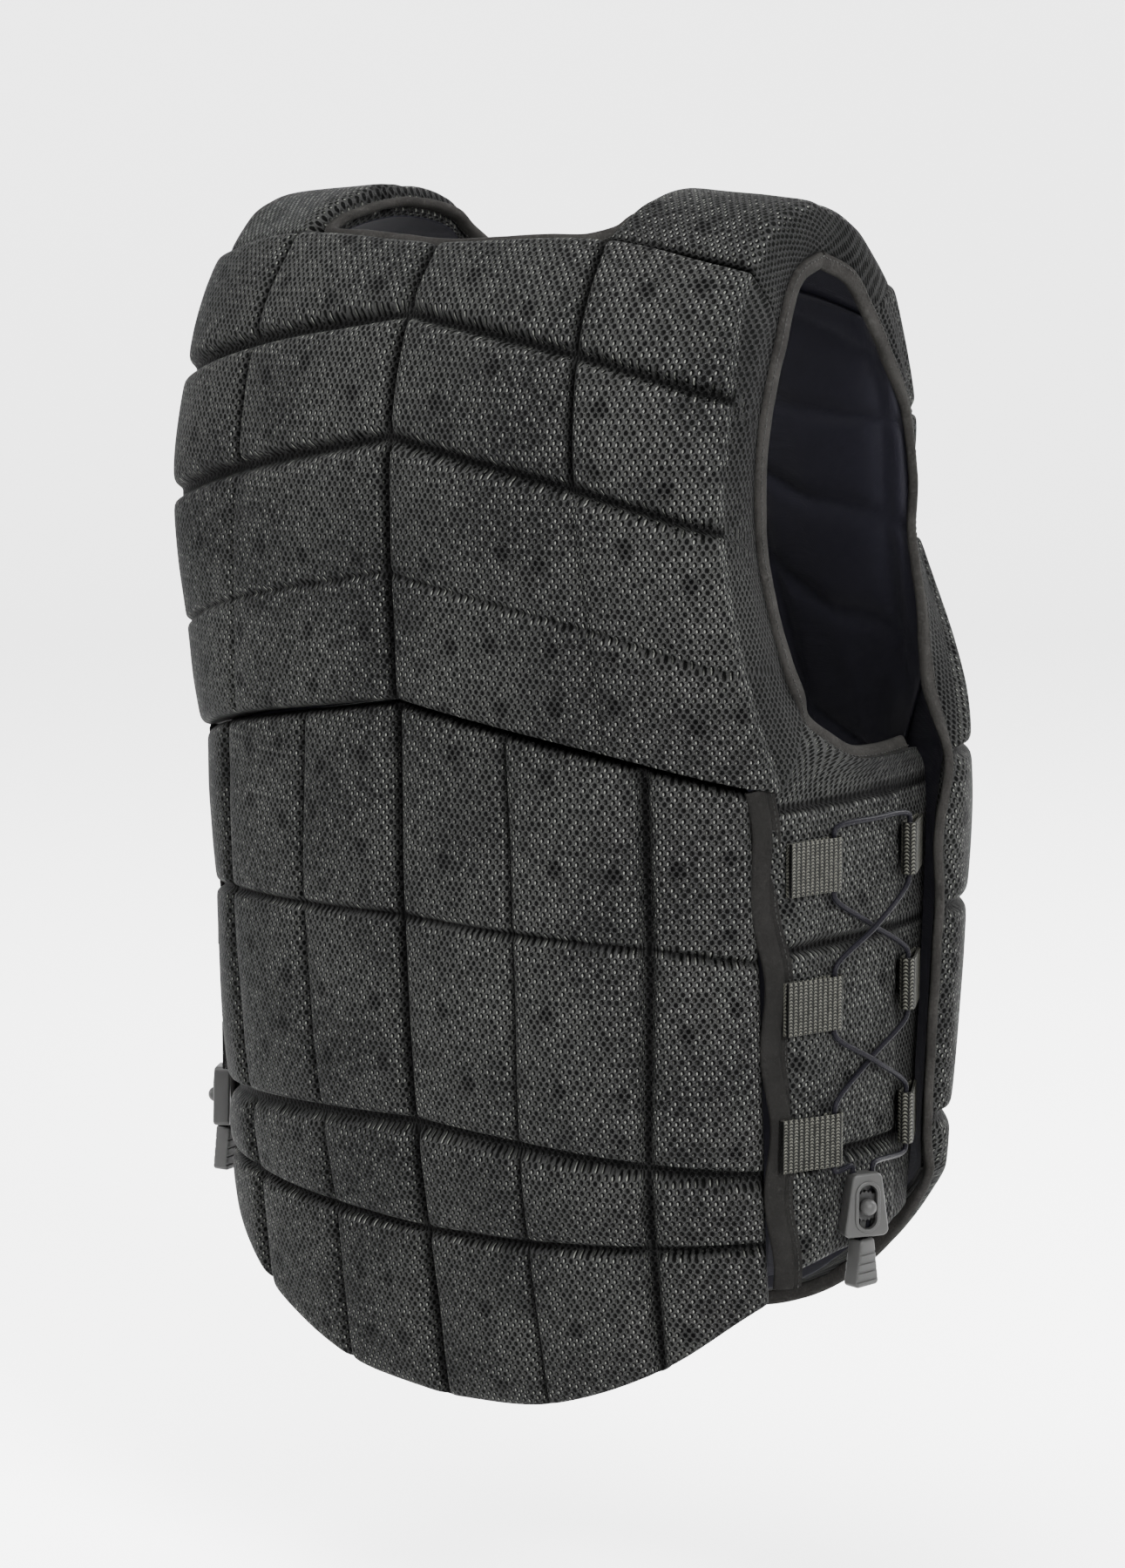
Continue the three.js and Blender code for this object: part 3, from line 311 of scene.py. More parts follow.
def paintBinding(name, shade):
    paint = Paint(name, Roughness=0.85, Specular_IOR_Level=0.02)
    nap = paint.mottle(felt["nap"], 3.0)
    broad = paint.mottle(70.0, 4.0)
    flecks = paint.mottle(420.0, 2.0).ramp(0.56, 0.72)
    tone = (nap * 0.5 + broad * 0.5).ramp(0.32, 0.7)
    colour = paint.mix(tone, felt["colour"], felt["worn"])
    colour = paint.mix(flecks * 0.35, colour, grey(0.021, (1.02, 1.0, 0.95)))
    paint.feed("Base Color", paint.mix(shade, colour, grey(0.0015)))
    paint.bump(nap + broad * 1.2, 0.4, 0.0007)
    return paint.material


webbing = {
    "rib": 0.00275,  # width of one herringbone column
    "pick": 0.0017,  # height of one stitch in it
    "bow": 0.9,
    "colour": grey(0.0048, (1.0, 1.0, 0.82)),
    "shade": grey(0.0002, (1.0, 1.0, 0.9)),
    "light": grey(0.034, (1.0, 1.0, 0.84)),
}


def paintWebbing():
    paint = Paint("webbing", Roughness=0.5, Specular_IOR_Level=0.04)
    u, v = paint.along()
    inRib = (v * (1 / webbing["rib"])).part() * 2 - 1
    pick = (u * (1 / webbing["pick"]) + inRib * inRib * webbing["bow"]).part() - 0.5
    strand = 1 - (pick.size() * 2) ** 2.0
    rib = 1 - inRib * inRib
    raised = strand * (rib * 0.8 + 0.2)
    tone = paint.mottle(300.0, 2.0)
    colour = paint.mix(raised.ramp(0.15, 0.6), webbing["shade"], webbing["colour"])
    shine = (raised * (tone + 0.5) - 0.35).ramp(0.1, 0.5)
    paint.feed("Base Color", paint.mix(shine * 0.75, colour, webbing["light"]))
    paint.bump(raised, 0.8, 0.0007)
    return paint.material


cordCloth = {
    "colour": grey(0.0018, (1.0, 0.95, 1.3)),
    "light": grey(0.0036, (1.0, 0.96, 1.25)),
    "turns": 2600.0,
    "strands": 4000.0,
}


def paintCord():
    paint = Paint("cordCloth", Roughness=0.35, Specular_IOR_Level=0.02)
    u, v = paint.along()
    one = (u * cordCloth["turns"] + v * cordCloth["strands"]).wave()
    two = (u * cordCloth["turns"] - v * cordCloth["strands"]).wave()
    braid = one.most(two) * 0.5 + 0.5
    paint.feed("Base Color", paint.mix(braid, cordCloth["colour"], cordCloth["light"]))
    paint.bump(braid, 0.25, 0.0002)
    return paint.material


moulding = {"colour": grey(0.0105, (1.0, 1.0, 0.975)), "worn": grey(0.0150, (1.0, 1.0, 0.975))}


def paintMoulding(name, shade):
    paint = Paint(name, Specular_IOR_Level=0.12)
    grain = paint.mottle(2600.0, 2.0)
    broad = paint.mottle(120.0, 3.0)
    dull = paint.mix(broad, moulding["colour"], moulding["worn"])
    paint.feed("Base Color", paint.mix(shade, dull, grey(0.00168)))
    paint.feed("Roughness", 0.36 + broad * 0.18)
    paint.bump(grain, 0.15, 0.0002)
    return paint.material


def paintThread():
    paint = Paint("thread", Roughness=0.55, Specular_IOR_Level=0.04)
    tone = paint.mottle(900.0, 1.0).ramp(0.35, 0.65)
    paint.feed("Base Color", paint.mix(tone, grey(0.00378), grey(0.0126, (1.0, 1.0, 0.94))))
    paint.bump(paint.mottle(4000.0, 1.0), 0.3, 0.0002)
    return paint.material


def paintBackdrop():
    paint = Paint("backdrop", Roughness=0.9, Specular_IOR_Level=0.0)
    paint.feed("Base Color", paint.mix(paint.mottle(0.5, 1.0), grey(0.93), grey(0.95)))
    return paint.material


finishes = {
    "mesh": paintMeshCloth(),
    "lining": paintLining(),
    "binding": paintBinding("feltBinding", 0.22),
    "tape": paintBinding("feltTape", 0.66),
    "webbing": paintWebbing(),
    "cord": paintCord(),
    "plastic": paintMoulding("mouldedGrey", 0.0),
    "zip": paintMoulding("mouldedBlack", 0.93),
    # the wheel's disc sunk in the lock's pocket, painted darker as shade
    "pocketShadePlastic": paintMoulding("mouldedDark", 0.75),
    "thread": paintThread(),
    "backdrop": paintBackdrop(),
}
print("materials", len(finishes))


def buildFloor():
    low, sweep = shot["floorHeight"], shot["sweepRadius"]
    profile = [(0.05, low), (1.0, low), (2.5, low)]
    for i in range(13):
        turn = i / 12 * math.pi / 2
        profile.append((shot["floorRadius"] + sweep * math.sin(turn), low + sweep * (1 - math.cos(turn))))
    profile.append((shot["floorRadius"] + sweep, low + 2 * sweep))
    turns, n = 72, len(profile)
    corners = [(0, 0, low)]
    faces = []
    for i in range(turns):
        angle = i / turns * math.tau
        corners += [(r * math.cos(angle), r * math.sin(angle), z) for r, z in profile]
        a, b = 1 + i * n, 1 + (i + 1) % turns * n
        faces.append((0, a, b))
        faces += [(a + k, a + k + 1, b + k + 1, b + k) for k in range(n - 1)]
    mesh = bpy.data.meshes.new("floor")
    mesh.from_pydata(corners, [], faces)
    mesh.shade_smooth()
    mesh.materials.append(finishes["backdrop"])
    newObject("floor", mesh)


buildFloor()

# the body that the panels follow, in metres
body = {
    "backLength": 0.525,
    "halfWidth": 0.176,
    "planCentre": -0.0365,
    "backReach": 0.1365,
    "frontReach": 0.131,
    "roundness": 2.6,
}
# Heights are shares of backLength above the tail hem, widths shares of halfWidth, and depths
# shares of backReach behind the plan's middle, or below zero of frontReach before it.
# Each row here: height, half width behind and in front, reach to the back and to the front.
outline = np.array([
    (-0.02, 1.0, 1.028, 0.71, 0.6),
    (0.0, 1.0, 1.028, 0.722, 0.62),
    (0.15, 1.0, 1.028, 0.817, 0.7),
    (0.25, 0.99, 1.028, 0.883, 0.8),
    (0.434, 1.0, 1.028, 0.941, 0.955),
    (0.552, 1.034, 1.034, 0.96, 0.965),
    (0.657, 1.068, 1.045, 0.978, 0.84),
    (0.762, 1.08, 1.045, 1.0, 0.7),
    (0.857, 1.068, 1.045, 0.99, 0.61),
    (0.945, 1.057, 1.045, 0.897, 0.42),
    (1.02, 1.04, 1.04, 0.7, 0.2),
])
columns = {"behind": 1, "before": 2, "back": 3, "front": 4}


def heightOf(share):
    return (np.asarray(share, float) - 1) * body["backLength"]


def depthOf(share):
    share = np.asarray(share, float)
    return body["planCentre"] + share * np.where(share > 0, body["backReach"], body["frontReach"])


def column(name, z):  # a column of the outline on a smooth curve through its rows
    at, value = outline[:, 0], outline[:, columns[name]]
    share = z / body["backLength"] + 1
    i = np.clip(np.searchsorted(at[1:], share, side="left"), 0, len(at) - 2)
    span = at[i + 1] - at[i]
    t = np.clip((share - at[i]) / span, 0, 1)
    before = np.maximum(np.arange(len(at)) - 1, 0)
    after = np.minimum(np.arange(len(at)) + 1, len(at) - 1)
    slope = (value[after] - value[before]) / (at[after] - at[before])
    t2, t3 = t * t, t * t * t
    return ((2 * t3 - 3 * t2 + 1) * value[i] + (t3 - 2 * t2 + t) * span * slope[i]
            + (3 * t2 - 2 * t3) * value[i + 1] + (t3 - t2) * span * slope[i + 1])


def outlineY(w, z, behind):
    half = body["halfWidth"] * column("behind" if behind else "before", z)
    reach = body["backReach"] * column("back", z) if behind else -body["frontReach"] * column("front", z)
    left = 1 - np.minimum(w / half, 1) ** body["roundness"]
    return body["planCentre"] + reach * left ** (1 / body["roundness"])


def outlineHalf(y, z):
    behind = y > body["planCentre"]
    reach = np.where(behind, body["backReach"] * column("back", z), body["frontReach"] * column("front", z))
    left = 1 - np.minimum(np.abs(y - body["planCentre"]) / reach, 1) ** body["roundness"]
    return body["halfWidth"] * left ** (1 / body["roundness"])


def between(before, a, b, after, t):  # on a smooth curve from a to b, with its neighbours
    t2, t3 = t * t, t * t * t
    return ((2 * t3 - 3 * t2 + 1) * a + (t3 - 2 * t2 + t) * (b - before) / 2
            + (3 * t2 - 2 * t3) * b + (t3 - t2) * (after - a) / 2)


def smoothAt(rows, at):  # rows run along the first axis; past both ends they go straight on
    rows = np.asarray(rows, float)
    rows = np.concatenate([2 * rows[:1] - rows[1:2], rows, 2 * rows[-1:] - rows[-2:-1]])
    i = np.clip(np.floor(at).astype(int), 0, len(rows) - 4)
    return rows, i, at - i


def listAt(values, r):
    rows, i, t = smoothAt(values, r)
    return between(rows[i], rows[i + 1], rows[i + 2], rows[i + 3], t)


def tableAt(table, r, c):  # a table read smoothly at a fractional row and column
    rows, i, s = smoothAt(table, r)
    wide = np.concatenate([2 * rows[:, :1] - rows[:, 1:2], rows, 2 * rows[:, -1:] - rows[:, -2:-1]], 1)
    j = np.clip(np.floor(c).astype(int), 0, wide.shape[1] - 4)
    t = c - j
    lines = [between(*[wide[i + k, j + n] for n in range(4)], t) for k in range(4)]
    return between(*lines, s)


def places(x, y, z):
    return np.stack(np.broadcast_arrays(x, y, z), -1)


def unit(vectors):
    return vectors / np.maximum(np.linalg.norm(vectors, axis=-1, keepdims=True), 1e-12)


def normalAt(place, c, r):
    step = 0.02
    across = place(c + step, r) - place(c - step, r)
    down = place(c, r + step) - place(c, r - step)
    return unit(np.cross(down, across))


def blend(a, b, t):
    return a + (b - a) * np.asarray(t)[..., None]


def smoothStep(t):
    t = np.clip(t, 0, 1)
    return t * t * (3 - 2 * t)


def mirror(values, mirrored):
    return values * np.array([-1, 1, 1]) if mirrored else values


# curves through a few knots, evenly spaced; more columns than three ride along
def curveAt(knots, t):
    last = len(knots) - 1
    at = np.clip(np.atleast_1d(np.asarray(t, float)), 0, 1) * last
    i = np.clip(np.floor(at).astype(int), 0, last - 1)
    padded = np.vstack([2 * knots[0] - knots[1], knots, 2 * knots[-1] - knots[-2]])
    p = [padded[i + k] for k in range(4)]
    gap = [np.linalg.norm((p[k + 1] - p[k])[:, :3], axis=1) for k in range(3)]
    gap = [np.maximum(length, 1e-9)[:, None] ** 0.5 for length in gap]
    first = ((p[1] - p[0]) / gap[0] - (p[2] - p[0]) / (gap[0] + gap[1]) + (p[2] - p[1]) / gap[1]) * gap[1]
    second = ((p[2] - p[1]) / gap[1] - (p[3] - p[1]) / (gap[1] + gap[2]) + (p[3] - p[2]) / gap[2]) * gap[1]
    s = (at - i)[:, None]
    return ((2 * s**3 - 3 * s**2 + 1) * p[1] + (s**3 - 2 * s**2 + s) * first
            + (3 * s**2 - 2 * s**3) * p[2] + (s**3 - s**2) * second)


def evenCurve(knots, step, closed=False):
    knots = np.asarray(knots, float)
    if closed:
        wrapped = np.vstack([knots[-3:], knots, knots[:4]])
        fine = curveAt(wrapped, np.linspace(3, len(knots) + 3, len(knots) * 40 + 1) / (len(wrapped) - 1))
    else:
        fine = curveAt(knots, np.linspace(0, 1, len(knots) * 40))
    run = np.concatenate([[0], np.cumsum(np.linalg.norm(np.diff(fine[:, :3], axis=0), axis=1))])
    at = np.linspace(0, run[-1], max(int(run[-1] / step), 2) + 1)
    even = np.stack([np.interp(at, run, fine[:, k]) for k in range(fine.shape[1])], 1)
    return even[:-1] if closed else even


# upper back: a row for each seam, from the shoulders to the hem over the lower back
yoke = {
    "height": [(1.002, 1.008, 0.984), (0.945, 0.916, 0.882), (0.844, 0.808, 0.775),
               (0.731, 0.693, 0.657), (0.621, 0.588, 0.556)],
    "width": [(0, 0.5, 0.866), (0, 0.523, 0.889), (0, 0.545, 0.898), (0, 0.58, 0.918), (0, 0.602, 0.949)],
    "full": [0, 0.03, 0.07, 0.03, 0],
    "edgeWidth": [0.864, 0.881, 0.866, 0.892, 0.926],
    "edgeDepth": [0.414, 0.546, 0.516, 0.429, 0.37],
    "edgeHeight": [0.937, 0.85, 0.754, 0.661, 0.613],
    "thickness": 0.024,
    "neckThickness": 0.013,
}


def yokePlace(c, r):
    side = np.abs(c)
    w = tableAt(yoke["width"], r, side) * body["halfWidth"]
    z = heightOf(tableAt(yoke["height"], r, side))
    full = listAt(yoke["full"], r) * body["backReach"] * np.maximum(side - 1, 0)
    return places(w * np.where(c < 0, 1, -1), outlineY(w, z, True) + full, z)


def yokeEdge(r):
    w = listAt(yoke["edgeWidth"], r) * body["halfWidth"]
    return places(-w, depthOf(listAt(yoke["edgeDepth"], r)), heightOf(listAt(yoke["edgeHeight"], r)))


def yokeInside(c, r):
    side = np.abs(c)
    thin = yoke["neckThickness"] + (yoke["thickness"] - yoke["neckThickness"]) * np.minimum(r, 1)
    thickness = np.where(side < 1, thin, thin + (yoke["thickness"] - thin) * (side - 1))
    place = yokePlace(side, r) - normalAt(yokePlace, side, r) * thickness[..., None]
    place = np.where((side > 1)[..., None], blend(place, yokeEdge(r), side - 1), place)
    return np.where((c < 0)[..., None], mirror(place, True), place)


# lower back, from under the yoke to the tail hem
lower = {
    "height": [(0.619, 0.601, 0.579, 0.558), (0.434, 0.43, 0.425, 0.413), (0.25, 0.244, 0.236, 0.229),
               (0.15, 0.154, 0.162, 0.168), (-0.008, 0.005, 0.052, 0.115)],
    "width": [(0, 0.33, 0.682, 0.893), (0, 0.347, 0.688, 0.895), (0, 0.33, 0.665, 0.893),
              (0, 0.324, 0.659, 0.893), (0, 0.335, 0.659, 0.893)],
    "step": 0.003,
    "thickness": 0.024,
}


def lowerPlace(c, r):
    side = np.abs(c)
    w = tableAt(lower["width"], r, side) * body["halfWidth"]
    z = heightOf(tableAt(lower["height"], r, side))
    y = outlineY(w, z, True) - lower["step"] * np.maximum(1 - r, 0)
    return places(w * np.where(c < 0, 1, -1), y, z)


def lowerInside(c, r):
    return lowerPlace(c, r) - normalAt(lowerPlace, c, r) * lower["thickness"]


# one front panel, from the zip to the armhole and the side edge
front = {
    "height": [(0.895, 0.918, 0.996, 0.964), (0.838, 0.842, 0.85, 0.857), (0.733, 0.735, 0.739, 0.747),
               (0.571, 0.571, 0.569, 0.566), (0.43, 0.43, 0.43, 0.43), (0.248, 0.248, 0.248, 0.248),
               (0.023, 0.034, 0.086, 0.196)],
    "width": [(0.0392, 0.261, 0.5, 0.841), (0.0392, 0.284, 0.534, 0.812), (0.0392, 0.307, 0.557, 0.773),
              (0.0392, 0.341, 0.67, 0.989), (0.0392, 0.352, 0.693, 1.0), (0.0392, 0.352, 0.693, 1.0),
              (0.0392, 0.341, 0.67, 0.977)],
    "edgeWidth": [0.847, 0.828, 0.836],
    "edgeDepth": [-0.158, -0.408, -0.436],
    "edgeHeight": [0.946, 0.859, 0.747],
    "thickness": 0.024,
    "neckThickness": 0.013,
    "sideThickness": 0.0055,
}


def frontPlace(c, r):
    w = tableAt(front["width"], r, c) * body["halfWidth"]
    z = heightOf(tableAt(front["height"], r, c))
    return places(-w, outlineY(w, z, False), z)


def frontInside(c, r):
    armholeRows = len(front["edgeWidth"]) - 1
    neck = front["neckThickness"] + (front["thickness"] - front["neckThickness"]) * np.minimum(r, 1)
    toSide = np.maximum(c - 2, 0)
    under = np.clip(r - armholeRows, 0, 1)

    def face(at, thin):  # thin is the share of the way to the side's thickness
        thickness = neck + (front["sideThickness"] - neck) * thin
        return frontPlace(at, r) + normalAt(frontPlace, at, r) * thickness[..., None]

    row = np.minimum(r, armholeRows)
    edge = places(-listAt(front["edgeWidth"], row) * body["halfWidth"],
                  depthOf(listAt(front["edgeDepth"], row)), heightOf(listAt(front["edgeHeight"], row)))
    # just below the armhole the edge runs straight down to the side's foot
    last = np.full(r.shape, 3.0)
    foot = frontPlace(last, last) + normalAt(frontPlace, last, last) * front["sideThickness"]
    straight = blend(edge, foot, under)
    straight[..., 2] = frontPlace(last, r)[..., 2]
    bent = blend(face(last, under), edge, 1 - under)
    below = ((r > armholeRows) & (r < armholeRows + 1)) * toSide ** 2
    return blend(face(c, toSide * under), edge, toSide * (1 - under)) + (straight - bent) * below[..., None]


# one side wing under the arm, from the seam with the back to under the front
wing = {
    "height": [(0.613, 0.586, 0.571, 0.568, 0.568), (0.54, 0.54, 0.54, 0.54, 0.54),
               (0.42, 0.42, 0.42, 0.42, 0.42), (0.238, 0.238, 0.238, 0.238, 0.238),
               (0.139, 0.145, 0.15, 0.158, 0.165)],
    "depth": [(0.348, 0.194, 0.048, -0.118, -0.363), (None, 0.326, 0.121, -0.118, -0.363),
              (None, 0.326, 0.121, -0.118, -0.363), (None, 0.326, 0.121, -0.118, -0.324),
              (None, 0.326, 0.121, -0.118, -0.279)],  # None is the seam with the back
    "lean": [0.005, 0, 0, 0, 0],
    "inset": 0.008,
    "insetLength": 0.035,
    "thickness": 0.010,
    "seamWidth": 0.893,
    "seamGap": 0.0065,
    "straightAbove": 0.5,
}


def seamY(z):
    return outlineY(wing["seamWidth"] * body["halfWidth"], z, True) - wing["seamGap"]


def wingSetIn(y, z):
    top = np.minimum(z, heightOf(wing["straightAbove"]))
    return wing["inset"] * smoothStep((seamY(top) - y) / wing["insetLength"])


wingDepth = [[seamY(heightOf(height[0])) if depth[0] is None else depthOf(depth[0]), *depthOf(depth[1:])]
             for depth, height in zip(wing["depth"], wing["height"])]


def wingPlace(c, r):
    y = tableAt(wingDepth, r, c)
    z = heightOf(tableAt(wing["height"], r, c))
    top = np.minimum(z, heightOf(wing["straightAbove"]))
    return places(-(outlineHalf(y, top) - wingSetIn(y, z) - listAt(wing["lean"], r)), y, z)


def wingInside(c, r):
    return wingPlace(c, r) - normalAt(wingPlace, c, r) * wing["thickness"]


def onWing(y, z, lift):
    y, z = np.asarray(y, float), np.asarray(z, float)
    return places(wingSetIn(y, z) - outlineHalf(y, z) - lift, y, z)


# shoulder pad: three places of its crest, each on the neck side, the outer side and the inner edge
shoulder = {
    "neck": [(0.49, 0.487, 1.035), (0.48, 0.231, 1.046), (0.485, -0.042, 1.034)],
    "side": [(0.864, 0.414, 1.022), (0.873, 0.223, 1.035), (0.864, -0.042, 1.01)],
    "edge": [(0.858, 0.326, 0.98), (0.852, 0.179, 0.998), (0.852, -0.011, 0.982)],
    "gap": 0.0008,
}


def padKnots(line):
    top = np.array(0.0)
    ends = {
        "neck": (yokePlace(np.array(1.0), top), frontPlace(np.array(2.0), top)),
        "side": (yokePlace(np.array(2.0), top), frontPlace(np.array(3.0), top)),
        "edge": (yokeInside(np.array(2.0), top), frontInside(np.array(3.0), top)),
        "inside": (yokeInside(np.array(1.0), top), frontInside(np.array(2.0), top)),
    }[line]
    rows = shoulder["neck" if line == "inside" else line]
    drop = yoke["neckThickness"] if line == "inside" else 0
    crest = [places(-w * body["halfWidth"], depthOf(d), heightOf(h) - drop) for w, d, h in rows]
    up = np.array([0, 0, shoulder["gap"]])
    return np.array([ends[0] + up, *crest, ends[1] + up])


padLines = {line: padKnots(line) for line in ["neck", "side", "edge", "inside"]}


def padLine(line, r):
    r = np.asarray(r, float)
    return curveAt(padLines[line], (r / 4).ravel()).reshape(*r.shape, 3)


def padPlace(c, r):
    return blend(padLine("neck", r), padLine("side", r), c)


def padInside(c, r):
    return blend(padLine("inside", r), padLine("edge", r), c)


# padded panels
relief = {
    "height": 0.006,  # blocks over their seams
    "crown": 0.0010,
    "beside": (0.0012, 0.0020, 0.0033, 0.0056),  # grid lines on each side of a seam
    "step": 0.0050,  # between the other lines
    "foot": 2.3,  # how steeply a block rises from its seam
    "shoulder": 1 / 1.7,  # how round its top edge is
    "shallow": 0.004,
    "quilting": 0.0022,  # how far the lining's seams sink in
    "quiltWidth": 0.003,
    "wrinkle": 0.0005,
    "edgeGuard": 0.02,  # the outermost share of a row stays held while the blocks puff up
}
puffing = {"pressure": 4.0, "frames": 20, "cap": 0.0014, "stiffness": 15.0}


def seamLines(place, other, blocks, along, step=relief["step"]):
    lines = [0.0]
    for i in range(blocks):
        ends = [np.array(float(i)), np.array(float(i + 1))]
        fixed = np.array(float(other))
        a, b = [place(fixed, e) if along else place(e, fixed) for e in ends]
        length = np.linalg.norm(b - a)
        near = np.array(relief["beside"]) / length
        count = max(int((1 - 2 * near[-1]) * length / step), 1)
        middle = np.linspace(near[-1], 1 - near[-1], count + 1)[1:-1]
        lines += [i + t for t in [*near, *middle, *(1 - near[::-1]), 1.0]]
    return np.array(lines)


def grid(c, r):
    return np.meshgrid(c, r, indexing="ij")


def toSeam(place, cc, rr, k, down):  # metres from each point to seam k, along the surface
    value, other = (rr, cc) if down else (cc, rr)
    full = np.full(value.shape, float(k))
    nextOne = full + np.where(value >= k, 1.0, -1.0)
    a = place(other, full) if down else place(full, other)
    b = place(other, nextOne) if down else place(nextOne, other)
    return np.abs(value - k) * np.linalg.norm(b - a, axis=-1)


# a seam: its row or column, whether it is a row, depth, half width of its floor, rounding
def blockHeights(place, cc, rr, seams):
    heights = [np.ones(cc.shape), np.ones(cc.shape)]  # after the column seams, after the row seams
    for k, down, depth, flatFloor, rounding in seams:
        t = np.clip((toSeam(place, cc, rr, k, down) - flatFloor) / rounding, 0, 1)
        rise = (1 - (1 - t) ** relief["foot"]) ** relief["shoulder"]
        heights[down] = heights[down] * (1 - depth * (1 - rise))
    return heights


def nearestSeam(place, cc, rr, seams):  # a shallow seam counts as further off
    nearest = np.full(cc.shape, 1.0)
    for k, down, depth, *_ in seams:
        nearest = np.minimum(nearest, toSeam(place, cc, rr, k, down) + (1 - depth) * relief["shallow"])
    return nearest


def takenUp(points, height, axis, start=0):
    # cloth that goes down into the seams, summed along one axis from the start line
    step = np.linalg.norm(np.diff(points, axis=axis), axis=2)
    extra = np.hypot(step, np.diff(height * relief["height"], axis=axis)) - step
    total = np.insert(np.cumsum(extra, axis), 0, 0, axis)
    return total - total.take([start], axis)


def wrinkles(points, scale):
    flat = points.reshape(-1, 3) * np.asarray(scale)
    value = [noise.noise(Vector(p)) + 0.5 * noise.noise(Vector(p) * 2.3) for p in flat.tolist()]
    return np.array(value).reshape(points.shape[:-1])


def uprightUv(points, start, heights):
    # across: plan distance from the line start; up: length along that line at the same height
    step = np.linalg.norm(np.diff(points[..., :2], axis=0), axis=2)
    u = np.concatenate([np.zeros((1, points.shape[1])), np.cumsum(step, 0)])
    line = points[start]
    run = np.concatenate([[0], np.cumsum(np.linalg.norm(np.diff(line, axis=0), axis=1))])
    z, run = line[::-1, 2], run[::-1]
    slope = (run[0] - run[-1]) / (z[0] - z[-1])
    v = np.interp(points[..., 2], z, run)
    v += np.where(points[..., 2] > z[-1], (points[..., 2] - z[-1]) * slope, 0)
    v += np.where(points[..., 2] < z[0], (points[..., 2] - z[0]) * slope, 0)
    u = u - u[start:start + 1] + takenUp(points, heights[0], 0, start)
    return np.stack([u, takenUp(points, heights[1], 1) - v], -1)


def flatUv(points):
    across = np.linalg.norm(np.diff(points, axis=0), axis=2)
    down = np.linalg.norm(np.diff(points, axis=1), axis=2)
    u = np.concatenate([np.zeros((1, points.shape[1])), np.cumsum(across, 0)])
    v = np.concatenate([np.zeros((points.shape[0], 1)), np.cumsum(down, 1)], 1)
    return np.stack([u, -v], -1)


def panelShell(name, outer, inner, uv, marks, rims, mirrored):
    # closed shell: outer grid, three rings round the rim, inner grid
    m, n = outer.shape[:2]
    border = ([(i, 0) for i in range(m)] + [(m - 1, j) for j in range(1, n)]
              + [(i, n - 1) for i in range(m - 2, -1, -1)] + [(0, j) for j in range(n - 2, 0, -1)])
    bi, bj = np.array(border).T
    away = outer[bi, bj] - outer[np.clip(bi, 2, m - 3), np.clip(bj, 2, n - 3)]
    swell = np.zeros(len(border))
    for test, amount in zip([bi == 0, bi == m - 1, bj == 0, bj == n - 1], rims):
        swell = np.where(test, np.maximum(swell, amount), swell)
    corners = [outer.reshape(-1, 3), inner.reshape(-1, 3)]
    flat = [uv.reshape(-1, 2), uv.reshape(-1, 2)]
    rings = 3
    for k in range(1, rings + 1):
        t = k / (rings + 1)
        corners.append(outer[bi, bj] * (1 - t) + inner[bi, bj] * t
                       + unit(away) * (swell * math.sin(math.pi * t))[:, None])
        flat.append(uv[bi, bj] + 0.001 * k)
    corners = mirror(np.concatenate(corners), mirrored)
    flat = np.concatenate(flat)
    i, j = np.meshgrid(np.arange(m - 1), np.arange(n - 1), indexing="ij")
    a = (i * n + j).ravel()
    outerFaces = np.stack([a, a + n, a + n + 1, a + 1], 1)
    innerFaces = outerFaces[:, ::-1] + m * n
    around = np.arange(len(border))
    ringOnly = [2 * m * n + k * len(border) + around for k in range(rings)]
    ringIds = [bi * n + bj, *ringOnly, bi * n + bj + m * n]
    rimFaces = [np.stack([p, q, np.roll(q, -1), np.roll(p, -1)], 1)
                for p, q in zip(ringIds[:-1], ringIds[1:])]
    faces = np.concatenate([outerFaces, innerFaces, *rimFaces])
    mesh = bpy.data.meshes.new(name)
    mesh.from_pydata(corners.tolist(), [], faces.tolist())
    slots = np.zeros(len(faces), np.int32)
    slots[len(outerFaces):2 * len(outerFaces)] = 1
    mesh.polygons.foreach_set("material_index", slots)
    outwards(mesh)
    layer = mesh.uv_layers.new(name="UVMap")
    used = np.zeros(len(mesh.loops), np.int32)
    mesh.loops.foreach_get("vertex_index", used)
    layer.data.foreach_set("uv", flat[used].astype(np.float32).ravel())
    for key, values in marks.items():
        full = np.zeros(len(corners), np.float32)
        full[:m * n] = values.ravel()
        for k in range(rings):
            full[ringIds[k + 1]] = values[bi, bj]
        mesh.attributes.new(key, "FLOAT", "POINT").data.foreach_set("value", full)
    mesh.materials.append(finishes["mesh"])
    mesh.materials.append(finishes["lining"])
    mesh.shade_smooth()
    return newObject(name, mesh)


def faceOutwards(work):
    bmesh.ops.recalc_face_normals(work, faces=work.faces)
    if work.calc_volume(signed=True) < 0:
        bmesh.ops.reverse_faces(work, faces=work.faces)


def outwards(mesh):
    work = bmesh.new()
    work.from_mesh(mesh)
    faceOutwards(work)
    work.to_mesh(mesh)
    work.free()


def bake(obj):
    # the object keeps its evaluated shape as a plain mesh
    result = bpy.data.meshes.new_from_object(obj.evaluated_get(bpy.context.evaluated_depsgraph_get()))
    obj.modifiers.clear()
    obj.data = result
    return obj


